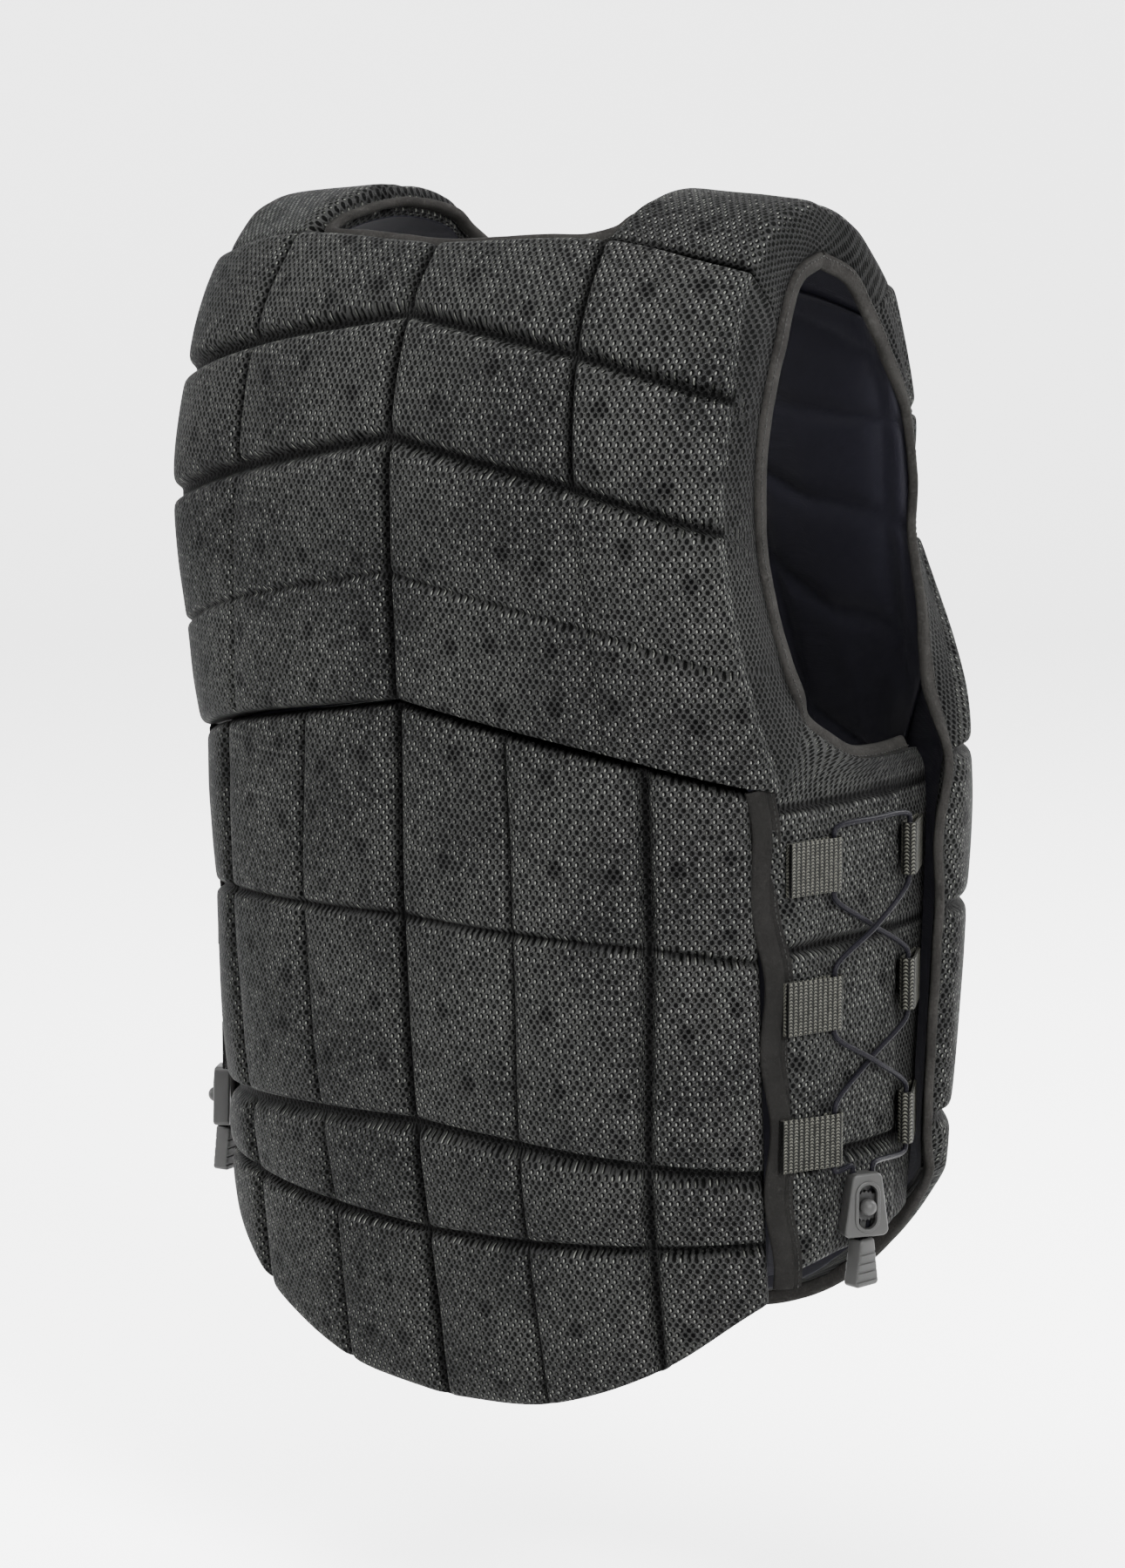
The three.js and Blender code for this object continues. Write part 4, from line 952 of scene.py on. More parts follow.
def puff(obj, held):
    # a short pressure simulation swells the blocks between their seams
    mesh = obj.data
    rest = np.zeros(len(mesh.vertices) * 3, np.float32)
    mesh.vertices.foreach_get("co", rest)
    group = obj.vertex_groups.new(name="held")
    levels = np.round(held * 5) / 5
    for level in np.unique(levels):
        group.add(np.nonzero(levels == level)[0].tolist(), float(level), "REPLACE")
    cloth = obj.modifiers.new("cloth", "CLOTH")
    cloth.settings.vertex_group_mass = "held"
    cloth.settings.use_pressure = True
    cloth.settings.uniform_pressure_force = puffing["pressure"]
    cloth.settings.tension_stiffness = puffing["stiffness"]
    cloth.settings.compression_stiffness = puffing["stiffness"]
    cloth.settings.quality = 4
    cloth.settings.effector_weights.gravity = 0
    cloth.collision_settings.use_collision = False
    cloth.point_cache.frame_start = 1
    cloth.point_cache.frame_end = puffing["frames"]
    for step in range(1, puffing["frames"] + 1):
        scene.frame_set(step)
    moved = np.zeros(len(rest), np.float32)
    result = obj.evaluated_get(bpy.context.evaluated_depsgraph_get()).to_mesh()
    result.vertices.foreach_get("co", moved)
    move = (moved - rest).reshape(-1, 3)
    far = np.linalg.norm(move, axis=1, keepdims=True)
    move = move * np.minimum(1, puffing["cap"] / np.maximum(far, 1e-9))
    obj.modifiers.remove(cloth)
    mesh.vertices.foreach_set("co", (rest.reshape(-1, 3) + move).astype(np.float32).ravel())
    obj.vertex_groups.clear()
    scene.frame_set(1)
    print("puffed", obj.name, round(float(far.max()) * 1000, 2), "mm")


def finishPanel(obj, lift, node):
    held = np.ones(len(obj.data.vertices), np.float32)
    held[:lift.size] = 1 - np.clip(lift.ravel() * 1.15 - 0.15, 0, 1)
    puff(obj, held)
    smooth = obj.modifiers.new("smooth", "SUBSURF")
    smooth.levels = smooth.render_levels = 1
    bake(obj)
    obj.data.shade_smooth()
    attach(obj, "vest")
    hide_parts(node)
    print("panel", obj.name, len(obj.data.polygons))


paintedLightAndSpots = {
    # painted shade in the grooves: full on the floor, fading out up the sides
    "grooveFloor": 0.0006,
    "grooveSide": 0.0022,
    "shoulderAt": 0.0042,  # the blocks' edges get extra painted glints this far from a seam
    "shoulderWidth": 0.0016,
    "lit": (-0.9, 0.35, 0.25),
    "glint": 0.46,
    "spotsFrom": 0.006,
    "wall": 0.35,
}


def panelMarks(nearest, normal, wall=None):
    # marks for the cloth's material: painted shade on the groove floor, painted glints in the holes, foam
    # perforations
    # painted shade on the groove floor, fading up its sides
    groove = 1 - smoothStep((nearest - paintedLightAndSpots["grooveFloor"]) / paintedLightAndSpots["grooveSide"])
    shoulderLine = np.exp(-((nearest - paintedLightAndSpots["shoulderAt"]) / paintedLightAndSpots["shoulderWidth"]) ** 2)
    # blocks that face the light direction get more painted glints
    facing = smoothStep((normal @ unit(np.array(paintedLightAndSpots["lit"]))) * 1.5 - 0.35)
    glint = paintedLightAndSpots["glint"] + 0.34 * facing + 0.45 * shoulderLine
    spots = smoothStep((nearest - paintedLightAndSpots["spotsFrom"]) / 0.002)
    if wall is not None:  # the loose cloth beside the armhole is darkened by a fixed share, has fewer painted glints and no foam behind it
        groove = groove * (1 - wall) + paintedLightAndSpots["wall"] * wall
        glint, spots = glint * (1 - 0.8 * wall), spots * (1 - wall)
    return {"groove": groove, "glint": glint, "perforation": spots}


def armholeWall(ridge, edge, t, bow):
    # loose cloth from the ridge over to the armhole edge
    place = blend(ridge, edge, t * 0.96)
    out = unit(np.cross(unit(edge - ridge), np.array([0, 0, 1.0])))
    out = out * np.sign(out[..., :1] * ridge[..., :1])
    folds = wrinkles(ridge + edge * 2.5 * t[..., None], (10, 10, 42)) * 0.0013
    slack = bow * np.sin(np.pi * t) + folds * np.sin(np.pi * t)
    return place + out * slack[..., None]


def buildYoke():
    half = seamLines(yokePlace, 2.0, 2, False)
    wallLines = 2 + np.array([0.06, 0.14, 0.25, 0.37, 0.5, 0.63, 0.75, 0.86, 0.94, 1.0])
    half = np.concatenate([half, wallLines])
    c = np.concatenate([-half[:0:-1], half])
    r = seamLines(yokePlace, 1.0, 4, True)
    cc, rr = grid(c, r)
    side = np.abs(cc)
    on = np.sign(cc) * np.minimum(side, 2)
    base = yokePlace(on, rr)
    normal = normalAt(yokePlace, on, rr)
    creased = np.where(rr > 2.02, 0.32, 0.92)
    seams = [(0, False, 1.0, 0.0017, 0.0042),
             (1, False, creased, 0.0009, 0.0036), (-1, False, creased, 0.0009, 0.0036),
             (2, False, 1.0, 0.0, 0.009), (-2, False, 1.0, 0.0, 0.009),
             (0, True, 1.0, 0.0, 0.006), (1, True, 1.0, 0.0022, 0.0045), (2, True, 1.0, 0.0024, 0.0045),
             (3, True, 0.5, 0.0007, 0.0032), (4, True, 1.0, 0.0, 0.006)]
    flat = side <= 2
    heights = blockHeights(yokePlace, on, rr, seams)
    height = heights[0] * heights[1]
    stitched = [s for s in seams if abs(s[0]) < 2 and not s[1] or 0 < s[0] < 4 and s[1]]
    inSeam = nearestSeam(yokePlace, on, rr, stitched)
    crown = np.sin(np.pi * (side % 1)) * np.sin(np.pi * (rr % 1)) * flat
    rise = relief["height"] * height + relief["crown"] * crown + relief["wrinkle"] * wrinkles(base, 26)
    edge = yokeEdge(rr)
    edge = np.where((cc < 0)[..., None], mirror(edge, True), edge)
    wall = armholeWall(base, edge, np.clip(side - 2, 0, 1), 0.0022)
    outer = np.where(flat[..., None], base + normal * rise[..., None], wall)
    inner = yokeInside(cc * 2 / 3, rr)
    sink = relief["quilting"] * np.exp(-(inSeam / relief["quiltWidth"]) ** 2) * flat
    inner = inner + unit(outer - inner) * sink[..., None]
    marks = panelMarks(inSeam, normal, 1.0 * ~flat)
    uv = uprightUv(wall, len(half) - 1, heights)
    obj = panelShell("backYoke", outer, inner, uv, marks, (0, 0, 0.001, 0.002), False)
    free = np.where(flat, height, 0.3) * (np.minimum(rr, 4 - rr) > relief["edgeGuard"])
    finishPanel(obj, free, "back_yoke")


def buildLower():
    half = seamLines(lowerPlace, 1.0, 3, False)
    c = np.concatenate([-half[:0:-1], half])
    r = seamLines(lowerPlace, 1.0, 4, True, 0.0065)
    cc, rr = grid(c, r)
    side = np.abs(cc)
    base = lowerPlace(cc, rr)
    normal = normalAt(lowerPlace, cc, rr)
    seams = [(0, False, 1.0, 0.0017, 0.0042), (3, False, 1.0, 0.0, 0.006), (-3, False, 1.0, 0.0, 0.006),
             (0, True, 1.0, 0.0, 0.006), (1, True, 0.75, 0.0009, 0.0036), (2, True, 1.0, 0.0022, 0.0045),
             (3, True, 0.9, 0.0014, 0.004), (4, True, 1.0, 0.0, 0.008)]
    seams += [(k, False, 0.7, 0.0008, 0.0036) for k in (1, -1)]
    seams += [(k, False, 1.0, 0.0020, 0.0042) for k in (2, -2)]
    heights = blockHeights(lowerPlace, cc, rr, seams)
    nearest = nearestSeam(lowerPlace, cc, rr, seams)
    height = heights[0] * heights[1]
    crown = np.sin(np.pi * (side % 1)) * np.sin(np.pi * (rr % 1))
    rise = relief["height"] * height + relief["crown"] * crown + relief["wrinkle"] * wrinkles(base, 26)
    outer = base + normal * rise[..., None]
    inner = lowerInside(cc, rr)
    inner = inner + normal * (relief["quilting"] * np.exp(-(nearest / relief["quiltWidth"]) ** 2))[..., None]
    marks = panelMarks(nearest, normal)
    uv = uprightUv(base, len(half) - 1, heights)
    obj = panelShell("backLower", outer, inner, uv, marks, (0, 0, 0, 0.003), False)
    free = height * (np.minimum(rr, 4 - rr) > relief["edgeGuard"]) * (side < 3 - relief["edgeGuard"])
    finishPanel(obj, free, "back_lower")


def buildFront(side, mirrored):
    half = seamLines(frontPlace, 4.0, 3, False, 0.0065)
    c = np.concatenate([half, 3 + np.array([0.12, 0.3, 0.5, 0.7, 0.88, 1.0])])
    r = seamLines(frontPlace, 1.0, 6, True, 0.0075)
    cc, rr = grid(c, r)
    on = np.minimum(cc, 3)
    base = frontPlace(on, rr)
    normal = -normalAt(frontPlace, on, rr)
    seams = [(0, False, 1.0, 0.0, 0.005), (1, False, 0.8, 0.0011, 0.0038), (2, False, 0.95, 0.0014, 0.004),
             (3, False, 1.0, 0.0, 0.007), (0, True, 1.0, 0.0, 0.006), (6, True, 1.0, 0.0, 0.008)]
    seams += [(k, True, 0.95, 0.0015, 0.0042) for k in (1, 2, 3, 4, 5)]
    flat = cc <= 3
    heights = blockHeights(frontPlace, on, rr, seams)
    height = heights[0] * heights[1]
    inSeam = nearestSeam(frontPlace, on, rr, [s for s in seams if s[3] > 0])
    crown = np.sin(np.pi * (on % 1)) * np.sin(np.pi * (rr % 1)) * flat
    rise = relief["height"] * height + relief["crown"] * crown + relief["wrinkle"] * wrinkles(base, 26)
    edge = frontInside(np.full(rr.shape, 3.0), rr)
    wall = armholeWall(base, edge, np.clip(cc - 3, 0, 1), 0.0012)
    outer = np.where(flat[..., None], base + normal * rise[..., None], wall)
    inner = frontInside(cc * 3 / 4, rr)
    marks = panelMarks(inSeam, normal, 1.0 * ~flat)
    uv = uprightUv(wall, 0, heights)
    obj = panelShell("frontPanel" + side.title(), outer, inner, uv, marks, (0, 0, 0.001, 0.002), mirrored)
    guard = relief["edgeGuard"]
    free = np.where(flat, height, 0.2) * (np.minimum(rr, 6 - rr) > guard) * (cc > guard)
    finishPanel(obj, free, f"front_panel_{side}")


def buildWing(side, mirrored):
    c = seamLines(wingPlace, 2.0, 4, False, 0.006)
    r = seamLines(wingPlace, 1.0, 4, True, 0.006)
    cc, rr = grid(c, r)
    base = wingPlace(cc, rr)
    normal = normalAt(wingPlace, cc, rr)
    blockTop = np.where(rr < 1.0, 1.0, 0.0)
    seams = [(0, False, 1.0, 0.0, 0.006), (1, True, 1.0, 0.0004, 0.0045), (2, True, 1.0, 0.0018, 0.0045),
             (3, True, 1.0, 0.0018, 0.0045), (4, True, 1.0, 0.0, 0.006), (3, False, 1.0, 0.001, 0.006)]
    heights = blockHeights(wingPlace, cc, rr, seams)
    height = heights[0] * heights[1]
    inSeam = nearestSeam(wingPlace, cc, rr, seams[1:4])
    padded = (1 - blockTop) * (cc < 3)
    crown = np.sin(np.pi * (rr % 1)) * np.sin(np.pi * np.clip(cc / 3, 0, 1)) * padded
    rise = 0.0045 * height * padded + relief["crown"] * crown + relief["wrinkle"] * wrinkles(base, 30)
    outer = base + normal * rise[..., None]
    marks = panelMarks(inSeam, normal)
    marks["perforation"] = marks["perforation"] * padded
    marks["glint"] = marks["glint"] * (0.35 + 0.65 * padded)
    inner, uv = wingInside(cc, rr), uprightUv(base, 0, heights)
    obj = panelShell("sideWing" + side.title(), outer, inner, uv, marks, (0, 0, 0.001, 0.002), mirrored)
    finishPanel(obj, height * padded * (rr < 3.96), f"side_wing_{side}")


def buildPad(side, mirrored):
    wallLines = 1 + np.array([0.1, 0.25, 0.42, 0.6, 0.78, 0.92, 1.0])
    c = np.concatenate([seamLines(padPlace, 2.0, 1, False), wallLines])
    r = seamLines(padPlace, 0.5, 4, True)
    seamRow = 2.2
    cc, rr = grid(c, r)
    on = np.minimum(cc, 1)
    base = padPlace(on, rr)
    normal = -normalAt(padPlace, on, rr)
    seams = [(0, False, 1.0, 0.0, 0.008), (1, False, 1.0, 0.0, 0.009), (0, True, 1.0, 0.001, 0.008),
             (4, True, 1.0, 0.0, 0.008), (seamRow, True, 0.7, 0.001, 0.006)]
    flat = cc <= 1
    heights = blockHeights(padPlace, on, rr, seams)
    height = heights[0] * heights[1]
    inSeam = nearestSeam(padPlace, on, rr, [seams[4], seams[2]])
    rise = 0.003 * height + 0.0007 * wrinkles(base, (30, 60, 30))
    edge = padInside(np.ones(rr.shape), rr)
    wall = armholeWall(base, edge, np.clip(cc - 1, 0, 1), 0.0016)
    outer = np.where(flat[..., None], base + normal * rise[..., None], wall)
    marks = panelMarks(inSeam, normal, 1.0 * ~flat)
    inner, uv = padInside(cc / 2, rr), flatUv(wall)
    obj = panelShell("shoulderPad" + side.title(), outer, inner, uv, marks, (0, 0, 0, 0), mirrored)
    free = np.where(flat, height, 0.2) * (np.minimum(rr, 4 - rr) > relief["edgeGuard"])
    finishPanel(obj, free, f"shoulder_pad_{side}")


buildYoke()
buildLower()
for side, mirrored in sides:
    buildFront(side, mirrored)
    buildWing(side, mirrored)
    buildPad(side, mirrored)


# quilted lining sheets inside the fronts
liningSheet = {
    "gap": 0.0009,
    "thickness": 0.0015,
    "swell": 0.0034,
    "round": 0.014,  # from a seam to the flat of a block
    "wide": 0.15,
    "long": 0.46,
    "step": 0.0033,
    "columns": (0.06, 2.95, 2.35),  # from, to at the armhole, to lower down
    "rows": (0.1, 5.94),
    "seams": (0.22, 0.8, 1.6, 2.3, 3.1, 4.0, 4.95),  # rows on the middle line, then their slope
    "slope": 0.34,
    "upright": (1.2, 2.6),
    "flatWidth": 0.155,
}


def buildLining(side, mirrored):
    sheet = liningSheet
    share, rr = grid(np.linspace(0, 1, int(sheet["wide"] / sheet["step"])),
                     np.linspace(*sheet["rows"], int(sheet["long"] / sheet["step"])))
    low, high, lowerHigh = sheet["columns"]
    cc = low + share * (high - low + (lowerHigh - high) * smoothStep((rr - 2.5) / 0.6))
    inward = unit(frontInside(cc, rr) - frontPlace(cc, rr))
    perRow = np.linalg.norm(frontPlace(cc, rr + 0.5) - frontPlace(cc, rr - 0.5), axis=-1)
    perColumn = np.linalg.norm(frontPlace(cc + 0.2, rr) - frontPlace(cc, rr), axis=-1) / 0.2
    nearest = np.full(cc.shape, 1.0)
    for seam in sheet["seams"]:
        nearest = np.minimum(nearest, np.abs(rr - seam - sheet["slope"] * (cc - 2)) * perRow)
    for seam in sheet["upright"]:
        nearest = np.minimum(nearest, np.abs(cc - seam) * perColumn)
    base = frontInside(cc, rr)
    fromSides = np.minimum(share, 1 - share) * 14
    fromEnds = np.minimum(rr - sheet["rows"][0], sheet["rows"][1] - rr) * 9
    ends = smoothStep(np.minimum(fromSides, fromEnds))
    puffed = (1 - (1 - np.clip(nearest / sheet["round"], 0, 1)) ** 2.4) * ends
    crease = 0.0005 * wrinkles(base, (26, 26, 60)) * ends
    under = base + inward * (sheet["gap"] + sheet["swell"] * puffed + crease + 0.0003)[..., None]
    over = under + inward * sheet["thickness"]
    obj = panelShell("frontLining" + side.title(), over, under, flatUv(base), {}, (0, 0, 0, 0), mirrored)
    obj.data.polygons.foreach_set("material_index", np.ones(len(obj.data.polygons), np.int32))
    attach(obj, "vest")
    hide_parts(f"front_lining_{side}")


for side, mirrored in sides:
    buildLining(side, mirrored)


# node trees for what follows a path: a band, and one small part repeated
def newTree(name, sockets):
    tree = bpy.data.node_groups.new(name, "GeometryNodeTree")
    tree.interface.new_socket("Path", in_out="INPUT", socket_type="NodeSocketGeometry")
    for label, kind in sockets:
        tree.interface.new_socket(label, in_out="INPUT", socket_type="NodeSocket" + kind)
    tree.interface.new_socket("Geometry", in_out="OUTPUT", socket_type="NodeSocketGeometry")
    return Nodes(tree)


def pathCurve(nodes):
    path = nodes.node("GeometryNodeMeshToCurve", {}, {"Mesh": nodes.given("Path")})
    facing = nodes.node("GeometryNodeInputNamedAttribute", {"data_type": "FLOAT_VECTOR"}, {"Name": "facing"})
    return nodes.node("GeometryNodeSetCurveNormal", {"mode": "FREE"}, {"Curve": path, "Normal": facing})


def bandTree():
    nodes = newTree("bandAlongPath", [("Width", "Float"), ("Thickness", "Float"), ("Rounding", "Float"),
                                      ("Steps", "Int"), ("Finish", "Material")])
    curve, run = nodes.capture(pathCurve(nodes), nodes.node("GeometryNodeSplineParameter", {}, {}, "Length"))
    box = {"Width": nodes.given("Thickness"), "Height": nodes.given("Width")}
    section = nodes.node("GeometryNodeCurvePrimitiveQuadrilateral", {"mode": "RECTANGLE"}, box)
    corner = {"Curve": section, "Count": nodes.given("Steps"), "Radius": nodes.given("Rounding"),
              "Limit Radius": True}
    section = nodes.node("GeometryNodeFilletCurve", {"mode": "POLY"}, corner)
    section, girth = nodes.capture(section, nodes.node("GeometryNodeSplineParameter", {}, {}, "Length"))
    swept = {"Curve": curve, "Profile Curve": section, "Fill Caps": True}
    band = nodes.node("GeometryNodeCurveToMesh", {}, swept)
    flat = nodes.node("ShaderNodeCombineXYZ", {}, {0: girth, 1: run})
    named = {"Geometry": band, "Name": "UVMap", "Value": flat}
    band = nodes.node("GeometryNodeStoreNamedAttribute", {"data_type": "FLOAT2", "domain": "CORNER"}, named)
    return nodes.close(band)


def rowTree():
    nodes = newTree("partsAlongPath", [("Part", "Object"), ("Pitch", "Float"), ("Unevenness", "Float"),
                                       ("Seed", "Int"), ("Finish", "Material")])
    evenly = {"Curve": pathCurve(nodes), "Length": nodes.given("Pitch")}
    curve = nodes.node("GeometryNodeResampleCurve", {"mode": "LENGTH"}, evenly)
    part = nodes.node("GeometryNodeObjectInfo", {}, {"Object": nodes.given("Part")}, "Geometry")
    axes = {"Primary Axis": nodes.node("GeometryNodeInputTangent"),
            "Secondary Axis": nodes.node("GeometryNodeInputNormal")}
    turn = nodes.node("FunctionNodeAxesToRotation", {"primary_axis": "Z", "secondary_axis": "X"}, axes)
    spread = nodes.given("Unevenness")
    chance = {2: 1 - spread, 3: 1 + spread, 8: nodes.given("Seed")}
    length = nodes.node("FunctionNodeRandomValue", {"data_type": "FLOAT"}, chance, 1)
    scale = nodes.node("ShaderNodeCombineXYZ", {}, {0: 1.0, 1: 1.0, 2: length})
    placed = {"Points": curve, "Instance": part, "Rotation": turn, "Scale": scale}
    return nodes.close(nodes.node("GeometryNodeInstanceOnPoints", {}, placed))


trees = {"band": bandTree(), "row": rowTree()}


def grow(name, kind, points, facing, mirrored, closed=False, **given):
    points, facing = mirror(points, mirrored), mirror(facing, mirrored)
    count = len(points)
    mesh = bpy.data.meshes.new(name)
    links = [(i, (i + 1) % count) for i in range(count if closed else count - 1)]
    mesh.from_pydata(points.tolist(), links, [])
    marks = mesh.attributes.new("facing", "FLOAT_VECTOR", "POINT")
    marks.data.foreach_set("vector", facing.astype(np.float32).ravel())
    obj = newObject(name, mesh)
    modifier = obj.modifiers.new("grow", "NODES")
    modifier.node_group = trees[kind]
    for item in trees[kind].interface.items_tree:
        if item.in_out == "INPUT" and item.name in given:
            modifier[item.identifier] = given[item.name]
    bake(obj)
    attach(obj, "vest")
    return obj


def tangents(points, closed=False):
    if closed:
        return unit(np.roll(points, -1, 0) - np.roll(points, 1, 0))
    return unit(np.gradient(points, axis=0))


def capsule():
    mesh = bpy.data.meshes.new("stitch")
    work = bmesh.new()
    bmesh.ops.create_uvsphere(work, u_segments=6, v_segments=4, radius=0.5)
    size = [stitching[key] for key in ["thickness", "width", "length"]]
    bmesh.ops.scale(work, vec=size, verts=work.verts)
    work.to_mesh(mesh)
    work.free()
    return newObject("stitch", mesh)


# bindings: felt tape folded over the edges, with a row of stitches near its inner edge
stitching = {"pitch": 0.0027, "length": 0.0020, "width": 0.0006, "thickness": 0.0005, "unevenness": 0.12}
binding = {
    "off": 0.00422,  # how far the tape reaches past the edge it covers
    "back": 0.0009,  # the tape's middle lies this much nearer to the padding
    "width": 0.0076,
    "thickness": 0.0043,
    "rounding": 0.0017,
    "step": 0.0035,
    "seen": (-0.62, 0.78, 0.1),  # the side with the stitches
    "ripple": 0.0004,
    "rowInset": 0.0018,  # the stitches run this far from the tape's inner edge
    "padTop": 2.06,  # pad row where the two bindings of an armhole meet
    # rows and columns of the panels that the tape's middle passes
    "yokeRows": (0.15, 0.6, 1, 1.4, 2, 2.5, 3, 3.6),
    "wingColumns": (0.35, 1, 2, 3, 3.9),
    "armholeRows": (0.1, 0.5, 0.8, 1, 1.5, 2, 2.35, 2.7),
    "sideRows": (3.05, 3.5, 4, 4.5, 5, 5.4, 5.75),
    "hemColumns": (2.75, 2.4, 2, 1.5, 1, 0.5, 0.12),
    "neckBack": (0, 0.3, 0.6, 0.85),
    "neckPad": (0.5, 1, 2, 3, 3.5),
    "neckFront": (1.8, 1.5, 1.2, 0.8, 0.35),
}
stitchPart = capsule()


def knot(edge, away, off=1.0):
    out = unit(edge - away)
    return np.concatenate([edge + out * (binding["off"] * off - binding["back"]), -out])


def rimKnot(place, c, r, inward, along):
    def at(i, j):
        return place(np.array(float(i)), np.array(float(j)))

    edge = at(c, r)
    rim = unit(at(c + along[0], r + along[1]) - at(c - along[0], r - along[1]))
    out = edge - at(c + inward[0], r + inward[1])
    out = unit(out - rim * np.dot(out, rim))
    return np.concatenate([edge + out * (binding["off"] - binding["back"]), -out])


def halfWay(place, inside):
    return lambda c, r: (place(c, r) + inside(c, r)) / 2


def sew(name, row, facing, mirrored, seed, closed=False):
    sewn = grow(name, "row", row, facing, mirrored, closed, Part=stitchPart, Pitch=stitching["pitch"],
                Unevenness=stitching["unevenness"], Seed=seed, Finish=finishes["thread"])


def layBinding(name, knots, node, mirrored, closed=False):
    path = evenCurve(np.array(knots), binding["step"], closed)
    points, inward = path[:, :3], unit(path[:, 3:])
    facing = unit(np.cross(tangents(points, closed), inward))
    turns = np.where(np.sum(facing[1:] * facing[:-1], 1) < 0, -1, 1)
    facing = facing * np.cumprod(np.concatenate([[1], turns]))[:, None]
    if np.mean(facing @ np.array(binding["seen"])) < 0:
        facing = -facing
    points = points + facing * (binding["ripple"] * wrinkles(points, 60))[:, None]
    thick = binding["thickness"]
    band = grow(name, "band", points, facing, mirrored, closed, Width=binding["width"], Thickness=thick,
                Rounding=binding["rounding"], Steps=3, Finish=finishes["binding"])
    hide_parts(node)
    toRow = inward * (binding["width"] / 2 - binding["rowInset"])
    for sign in ((1, -1) if closed else (1,)):
        row = points + facing * sign * (thick / 2 + 0.0001) + toRow
        sew(name + "Stitches" + ("Top" if sign > 0 else "Under"), row, facing * sign, mirrored, 4, closed)


def padBinding(rows):
    return [knot(padLine("edge", r), padLine("side", r)) for r in rows]


def buildBindings(side, mirrored):
    rows = [np.array(float(r)) for r in binding["yokeRows"]]
    yokeRim = [knot(yokeEdge(r), yokePlace(np.array(2.0), r)) for r in rows]
    middle = halfWay(wingPlace, wingInside)
    wingRim = [rimKnot(middle, c, 0, (0, 0.3), (0.1, 0)) for c in binding["wingColumns"]]
    back = padBinding([binding["padTop"], 1.1]) + yokeRim + wingRim
    layBinding("armholeBinding" + side.title(), back, f"armhole_binding_{side}", mirrored)
    middle = halfWay(frontPlace, frontInside)

    last = np.array(3.0)
    rows = [np.array(float(r)) for r in binding["armholeRows"]]
    rim = [knot(frontInside(last, r), frontPlace(last, r)) for r in rows]
    rim += [rimKnot(middle, 3, r, (-0.2, 0), (0, 0.1)) for r in binding["sideRows"]]
    rim += [knot(middle(last, np.array(6.0)), middle(np.array(2.8), np.array(5.8)), 1.7)]  # hem corner
    rim += [rimKnot(middle, c, 6, (0, -0.2), (0.1, 0)) for c in binding["hemColumns"]]
    rim = padBinding([binding["padTop"], 3]) + rim
    layBinding("frontBinding" + side.title(), rim, f"front_binding_{side}", mirrored)


def buildNeckBinding():
    back, chest = halfWay(yokePlace, yokeInside), halfWay(frontPlace, frontInside)
    pad = halfWay(padPlace, padInside)
    right = [rimKnot(back, c, 0, (0, 0.25), (0.1, 0)) for c in binding["neckBack"]]
    right += [rimKnot(pad, 0, r, (0.2, 0), (0, 0.2)) for r in binding["neckPad"]]
    right += [rimKnot(chest, c, 0, (0, 0.3), (0.1, 0)) for c in binding["neckFront"]]
    turned = np.array([-1, 1, 1, -1, 1, 1])
    layBinding("neckBinding", right + [k * turned for k in right[:0:-1]], "neck_binding", False, True)


# side tape over the seam of the lower back and the wing: a puffed band and a sewn-down edge
sideTape = {
    "lift": 0.004,
    "width": 0.0096,
    "thickness": 0.0032,
    "flange": (0.0052, 0.0012),  # width and thickness of the sewn-down edge
    "flangeShift": (0.0064, -0.0010),  # towards the wing and outwards
    "sway": (0.0019, 96.0),  # how far, and radians per metre of height
    "rows": (-0.12, 0.5, 1, 1.5, 2, 2.5, 3, 3.5, 3.97),
    "facing": (-0.82, 0.57, 0.0),
    "step": 0.003,
}


def buildTape(side, mirrored):
    spine, seam = [], np.array(3.0)
    for r in sideTape["rows"]:
        row, at = np.array(r), np.array(min(max(0.95 + r * 0.76, 0.95), 4))
        towards = normalAt(lowerPlace, seam, row) + normalAt(wingPlace, np.array(0.0), np.array(2.0))
        middle = (lowerPlace(seam, row) + wingPlace(np.array(0.0), at)) / 2
        spine.append(middle + unit(towards) * sideTape["lift"])
    path = evenCurve(np.array(spine), sideTape["step"])
    facing = np.broadcast_to(np.array(sideTape["facing"]), path.shape)
    across = unit(np.cross(tangents(path), facing))
    across = across * np.where(across[:, 1] > 0, -1, 1)[:, None]
    amount, rate = sideTape["sway"]
    path = path + across * (amount * np.sin(path[:, 2] * rate + 0.6))[:, None]
    shift, lift = sideTape["flangeShift"]
    edge = path + across * shift + facing * lift
    width, thick = sideTape["flange"]
    tall = sideTape["thickness"]
    band = grow("sideTape" + side.title(), "band", path, facing, mirrored, Width=sideTape["width"],
                Thickness=tall, Rounding=tall * 0.49, Steps=3, Finish=finishes["tape"])
    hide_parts(f"side_tape_{side}")
    flange = grow("sideTapeEdge" + side.title(), "band", edge, facing, mirrored, Width=width,
                  Thickness=thick, Rounding=thick * 0.4, Steps=2, Finish=finishes["tape"])
    row = edge + facing * (thick / 2 + 0.0001) + across * 0.0008
    sew("sideTapeStitches" + side.title(), row, facing, mirrored, 7)


